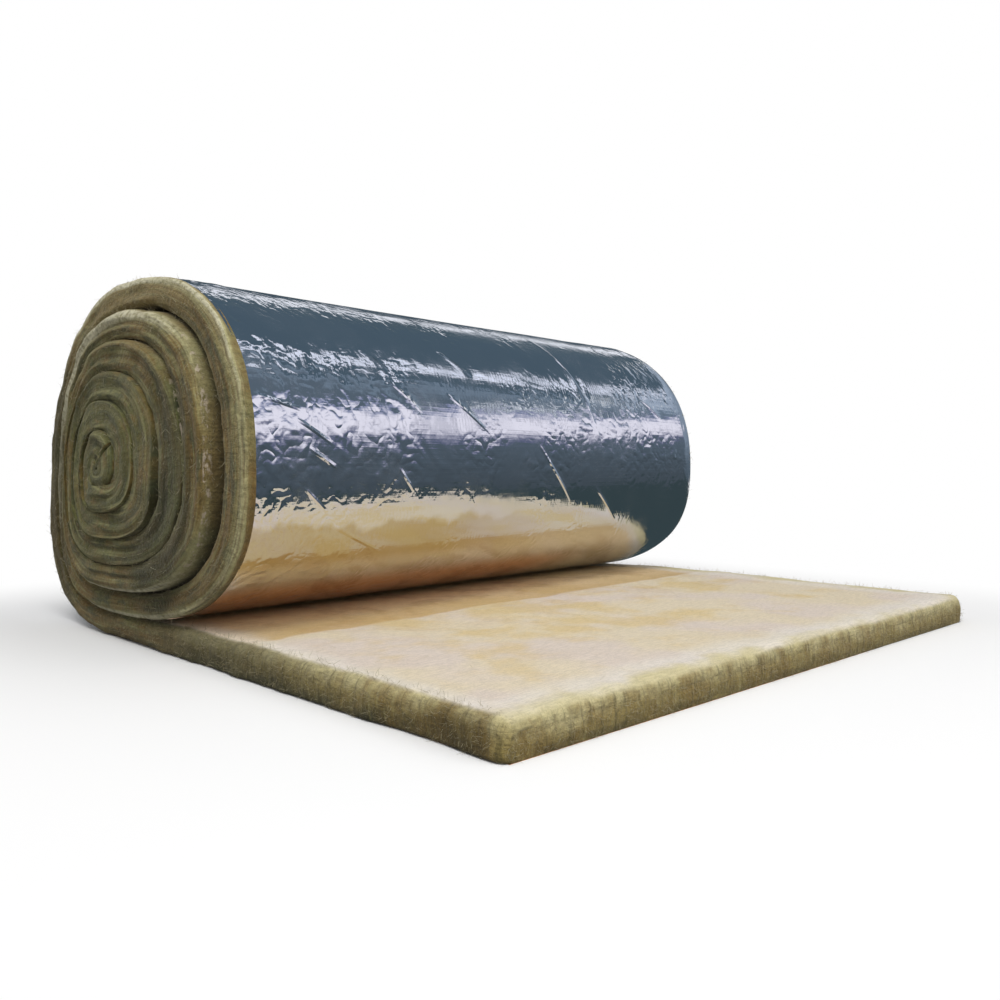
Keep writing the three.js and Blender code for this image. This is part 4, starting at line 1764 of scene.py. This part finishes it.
        piece = mesh_object("foil_facing_creased", patches, finish, math.radians(50.0))
        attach(piece, "root")
        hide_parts("foil_facing")
        return piece


def direct(tree: Tree) -> Wire:
    """1 where a ray comes from the camera, a mirror or clear glass, and 0 elsewhere.

    Args:
        tree: the material's or world's nodes.

    Returns:
        The 1 or 0.
    """
    path = add(tree, "LightPath")
    bent = path["Is Glossy Ray"].larger(path["Is Transmission Ray"])
    return path["Is Camera Ray"].larger(bent)


@dataclass(frozen=True)
class FloorPaper(Finish):
    """Pale matt paper that turns into the white backdrop away from the roll."""

    name: str = "studio_floor_paper"
    reach: float = 0.62
    turning: Pair = (0.02, 0.60)
    lit: tuple[float, ...] = (0.34, 0.34, 0.34, 1.0)
    seen: tuple[float, ...] = (0.96, 0.96, 0.96, 1.0)

    def surface(self, tree: Tree) -> Wire:
        """The shader, which reads Object coordinates.

        Args:
            tree: the material's nodes.

        Returns:
            The shader.
        """
        x, y, _ = add(tree, "SeparateXYZ", {}, {0: add(tree, "TexCoord")["Object"]})
        away = distance(*((abs(side) - self.reach).larger(0.0) for side in (x, y)))
        straight = direct(tree)
        paper = add(tree, "BsdfDiffuse", {}, {"Color": layered(tree, self.lit, (self.seen, straight))})
        glow = add(tree, "Emission", {}, {"Color": "#FFFFFF", "Strength": 1.0})
        return add(tree, "MixShader", {}, {0: fade((away, *self.turning), straight),
                                           1: paper, 2: glow})


def winding_of_frame() -> Winding:
    """The winding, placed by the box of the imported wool."""
    low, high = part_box("glass_wool_blanket")
    return Winding(eye_x=high[0] - Winding.flap_reach, floor_z=low[2],
                   near_y=low[1] + Winding.core_slide, far_y=high[1])


@dataclass(frozen=True)
class Card(Finish):
    """A plain glowing card that only the foil mirrors.

    It runs from one edge to another, each given by its two ends. Its colour runs smoothly from
    the first over the middle to the last, and noise pulls parts of it back to the first.
    """

    edges: tuple[Point, Point, Point, Point]
    colours: tuple[str, str, str]
    broken: float = 0.0
    breaks: float = 2.2
    strength: float = 1.0

    def surface(self, tree: Tree) -> Wire:
        """The card's glow.

        Args:
            tree: the material's nodes.

        Returns:
            The shader.
        """
        first, middle, last = self.colours
        _, across, _ = add(tree, "SeparateXYZ", {}, {0: add(tree, "UVMap", SHEET_MAP)})
        noisy = Grain(1.0 / self.breaks, 2.0, 0.6).on(add(tree, "TexCoord")["Object"])
        lit = layered(tree, first, (middle, (across, 0.0, 0.38)),
                      (first, (noisy, 0.45, 0.60, 0.0, self.broken)), (last, (across, 0.62, 1.0)))
        return add(tree, "Emission", {}, {"Color": lit, "Strength": self.strength})

    def build(self) -> None:
        """Builds the card as a flat grid between its corners."""
        a, b, c, d = (np.array(corner) for corner in self.edges)
        u, v = np.meshgrid(np.linspace(0, 1, 25), np.linspace(0, 1, 9), indexing="ij")
        points = blend(blend(a, b, u[..., None]), blend(d, c, u[..., None]), v[..., None])
        patch = grid_patch(points, np.stack([u, v], axis=-1), PLAIN)
        card = mesh_object(self.name, [patch], self.material())
        card.visible_camera = card.visible_diffuse = card.visible_shadow = False


def upright_card(x: float, y: Pair, low: Pair, high: Pair) -> tuple[Point, Point, Point, Point]:
    """Corners of a card at one x, whose lower and upper edges may climb along the axis."""
    return (x, y[0], low[0]), (x, y[1], low[1]), (x, y[1], high[1]), (x, y[0], high[0])


@dataclass(frozen=True)
class Studio:
    """A plain pale floor, a plain soft light and a camera."""

    camera_place: Point = (1.2786, -1.2253, 0.3028)
    camera_azimuth: float = 45.777
    camera_elevation: float = 2.456
    lens: float = 34.066
    sensor: float = 36.0
    sky: Pair = (0.09, 0.44)
    sky_aim: Point = (0.60, -0.15, 0.78)
    backdrop_edge: Pair = (0.449, 0.479)  # how steep the heading is
    ceiling: str = "#4D5F6D"
    floor_half: float = 30.0
    lamps: tuple[tuple[str, Point, Pair, float], ...] = (
        ("overhead_softbox", (1.9, -2.1, 4.3), (2.8, 2.2), 150.0),
        ("side_softbox", (3.6, 0.8, 2.2), (2.4, 2.4), 30.0))
    cards: tuple[Card, ...] = (
        Card("side_flag", upright_card(1.05, (-2.5, 5.0), (0.0, 0.0), (2.2, 2.2)),
             ("#465058", "#5B6976", "#7B8C9E")),
        Card("side_strip", upright_card(1.03, (-2.5, 5.0), (0.10, 1.00), (0.52, 1.84)),
             ("#5E6582", "#F6F3FF", "#7C86A8"), 0.40),
        Card("side_glint", upright_card(1.01, (1.50, 2.40), (1.22, 1.30), (1.42, 1.50)),
             ("#6B7A8B", "#F4F8FF", "#75859A"), 0.6, 6.0),
        Card("back_flag", upright_card(-1.6, (-3.0, 4.0), (0.0, 0.0), (2.6, 2.6)),
             ("#2F3D48", "#44535E", "#53646F")),
        Card("back_strip", upright_card(-1.58, (-3.0, 4.0), (1.35, 1.35), (2.00, 2.00)),
             ("#44535E", "#F4F7FF", "#53646F"), 0.3),
        Card("floor_flag", ((-0.35, -1.2, 0.002), (1.05, -1.2, 0.002), (1.05, 5.2, 0.002),
                            (-0.35, 5.2, 0.002)), ("#39474B", "#39474B", "#39474B")),
        Card("far_flag", ((-5.0, 5.2, 0.0), (1.3, 5.2, 0.0), (1.3, 5.2, 3.0), (-5.0, 5.2, 3.0)),
             ("#505E6A", "#8493A4", "#AAB8CB")),
        Card("top_strip", ((0.42, -4.0, 3.3), (0.42, 9.0, 3.3), (1.08, 9.0, 3.3),
                           (1.08, -4.0, 3.3)), ("#42515D", "#E6EBFA", "#42515D"), 0.10, 2.2, 1.15))

    def camera(self) -> None:
        """Puts the camera at its place, looking at the roll."""
        data = bpy.data.cameras.new("camera")
        data.lens, data.sensor_width = self.lens, self.sensor
        azimuth, elevation = math.radians(self.camera_azimuth), math.radians(self.camera_elevation)
        heading = Vector((-math.sin(azimuth) * math.cos(elevation),
                          math.cos(azimuth) * math.cos(elevation), -math.sin(elevation)))
        bpy.context.scene.camera = turned(placed("camera", data), self.camera_place, heading)

    def world(self) -> None:
        """Plain soft sky; seen directly or mirrored it is a white backdrop under a slate ceiling."""
        bpy.context.scene.world = bpy.data.worlds.new("studio")
        tree = new_tree(bpy.context.scene.world)
        heading = add(tree, "TexCoord")["Generated"]
        _, _, up = add(tree, "SeparateXYZ", {}, {0: heading})
        seen = layered(tree, "#FFFFFF", (self.ceiling, (up, *self.backdrop_edge)))
        lit_from = add(tree, "VectorMath", {"operation": "DOT_PRODUCT"},
                       {0: heading, 1: self.sky_aim})["Value"]
        dark, light = ((level,) * 3 + (1.0,) for level in self.sky)
        colour = layered(tree, dark, (light, (lit_from, -0.7, 0.8)), (seen, direct(tree)))
        background = add(tree, "Background", {}, {"Color": colour, "Strength": 1.0})
        add(tree, "OutputWorld", {}, {"Surface": background})

    def floor(self) -> None:
        """Lays the floor, a wide plain square."""
        half = self.floor_half
        mesh = bpy.data.meshes.new("studio_floor")
        mesh.from_pydata([(-half, -half, 0), (half, -half, 0), (half, half, 0), (-half, half, 0)],
                         [], [(0, 1, 2, 3)])
        mesh.materials.append(FloorPaper().material())
        floor = placed("studio_floor", mesh)

    def build(self) -> None:
        """Builds the studio, with its soft rectangular lamps turned to the part's origin."""
        self.camera()
        self.world()
        self.floor()
        for name, place, size, power in self.lamps:
            data = bpy.data.lights.new(name, "AREA")
            data.shape, data.energy = "RECTANGLE", power
            data.size, data.size_y = size
            turned(placed(name, data), place, -Vector(place))
        for card in self.cards:
            card.build()
        bpy.context.scene.view_settings.view_transform = "Standard"


def main() -> None:
    """Builds the pieces in order and reports each one."""
    logging.basicConfig(level=logging.INFO, format="%(name)s: %(message)s")
    blanket = GlassWoolBlanket(winding_of_frame())
    report(blanket.build(SpunGlassWool().material()))
    report(LooseFibres(blanket).build(DrawnGlassFibre().material()))
    report(FoilFacing(blanket).build(ScrimmedFoil().material()))
    Studio().build()


if __name__ == "__main__":
    main()
